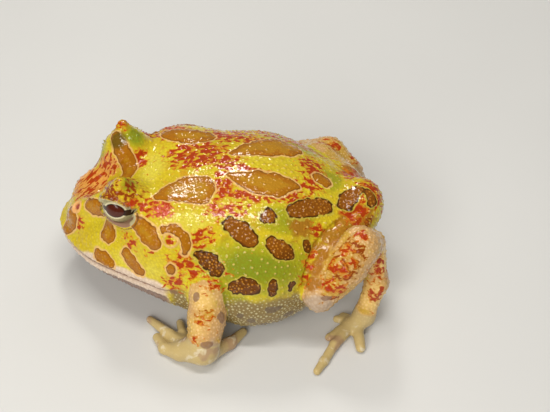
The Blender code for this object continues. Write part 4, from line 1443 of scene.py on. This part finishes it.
@dataclass(frozen=True)
class Lamp:
    """A softbox: its place in frog millimetres, length, width, watts and the way it runs.

    Only a lamp with glints shows in the wet film. The others fill in as a bright room would.
    """

    name: str
    place: Triple
    length: float
    width: float
    watts: float
    along: Triple = (0.0, 1.0, 0.0)
    glints: bool = False
    aim: Triple = (0.0, 0.0, 9.0)
    colour: Triple = (1.0, 0.98, 0.95)

    def build(self) -> bpy.types.Object:
        """Adds the light to the scene."""
        data = bpy.data.lights.new(self.name, "AREA")
        data.shape, data.size, data.size_y = "RECTANGLE", self.length * MM, self.width * MM
        data.energy, data.color = self.watts, self.colour
        obj = link(bpy.data.objects.new(self.name, data))
        obj.location = PLACE.to_metres(np.array(self.place))
        obj.visible_glossy = self.glints
        back = unit(np.array(self.place) - np.array(self.aim))
        along = unit(np.array(self.along) - back * (np.array(self.along) @ back))
        obj.rotation_mode = "QUATERNION"
        obj.rotation_quaternion = Matrix((along, np.cross(back, along), back)).transposed().to_quaternion()
        return obj


@dataclass(frozen=True)
class Studio:
    """The camera at the photograph's angle, a plain pale floor and soft light."""

    azimuth: float = 90.0
    elevation: float = 43.0
    roll: float = 4.0
    focal_pixels: float = 1226.0
    distance: float = 190.0
    back_point: Triple = (0.0, 6.6, 22.0)
    back_point_pixel: tuple[float, float] = (264.5, 164.5)
    sensor_width: float = 36.0
    floor_side: float = 3000.0
    sky: str = "#ECEAE6"
    sky_strength: float = 0.15
    lamps: tuple[Lamp, ...] = (
        Lamp("key_light", (-186.0, -42.0, 245.0), 50.0, 50.0, 0.22, glints=True),
        Lamp("top_strip", (12.0, -8.0, 310.0), 240.0, 24.0, 0.40, glints=True),
        Lamp("side_strip", (200.0, -135.0, 185.0), 200.0, 22.0, 0.16, (-0.71, -0.6, 0.37), True),
        Lamp("fill_light", (280.0, -60.0, 200.0), 200.0, 200.0, 0.75),
        Lamp("back_light", (-220.0, 90.0, 200.0), 200.0, 200.0, 0.12),
    )

    def build(self) -> None:
        """Adds camera, floor, lights and sky to the scene."""
        self.camera()
        self.floor()
        for lamp in self.lamps:
            lamp.build()
        world = bpy.data.worlds.new("soft_sky")
        world.use_nodes = True
        background = world.node_tree.nodes["Background"]
        background.inputs["Color"].default_value = linear(self.sky)
        background.inputs["Strength"].default_value = self.sky_strength
        bpy.context.scene.world = world
        bpy.context.scene.view_settings.view_transform = "Standard"

    def camera(self) -> None:
        """Adds the camera, placed so that a point on the frog's back falls on its pixel."""
        turn, lift, roll = (math.radians(a) for a in (self.azimuth, self.elevation, self.roll))
        back = np.array([math.sin(turn) * math.cos(lift), -math.cos(turn) * math.cos(lift),
                         math.sin(lift)])
        level = np.array([math.cos(turn), math.sin(turn), 0.0])
        upright = np.cross(back, level)
        right = math.cos(roll) * level + math.sin(roll) * upright
        up = -math.sin(roll) * level + math.cos(roll) * upright
        across = (self.back_point_pixel[0] - IMAGE_WIDTH / 2) / self.focal_pixels
        down = (self.back_point_pixel[1] - IMAGE_HEIGHT / 2) / self.focal_pixels
        eye = np.array(self.back_point) - self.distance * (-back + across * right - down * up)
        data = bpy.data.cameras.new("camera")
        data.sensor_width = self.sensor_width
        data.lens = self.focal_pixels / IMAGE_WIDTH * self.sensor_width
        data.clip_start, data.clip_end = 0.005, 10.0
        camera = link(bpy.data.objects.new("camera", data))
        camera.rotation_mode = "QUATERNION"
        turned = Matrix((right, up, back)).transposed()
        camera.rotation_quaternion = turned.to_quaternion()
        camera.location = PLACE.to_metres(eye)
        bpy.context.scene.camera = camera

    def floor(self) -> None:
        """Adds the floor that the frog sits on."""
        bm = bmesh.new()
        bmesh.ops.create_grid(bm, x_segments=8, y_segments=8, size=self.floor_side / 2 * MM)
        mesh = bpy.data.meshes.new("floor")
        bm.to_mesh(mesh)
        bm.free()
        floor = link(bpy.data.objects.new("floor", mesh))
        mesh.materials.append(PaleFloor().make())


def main() -> None:
    """Builds the frog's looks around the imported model."""
    logging.basicConfig(level=logging.INFO, format="%(name)s: %(message)s")
    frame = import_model()
    skin = Skin().build()
    skin.data.materials.append(WetSkin().make())
    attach(skin, "root")
    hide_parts(*[n for n in sorted(frame["nodes"]) if not n.startswith("eye")])
    log.info("skin: %d faces", len(skin.data.polygons))
    gloss = EyeGloss().make()
    for side, node in ((1, "eye_left"), (-1, "eye_right")):
        ball = Eye(side).build()
        ball.data.materials.append(gloss)
        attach(ball, "root")
        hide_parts(node)
        log.info("%s: %d faces", ball.name, len(ball.data.polygons))
    Studio().build()
    bpy.context.view_layer.update()


if __name__ == "__main__":
    main()
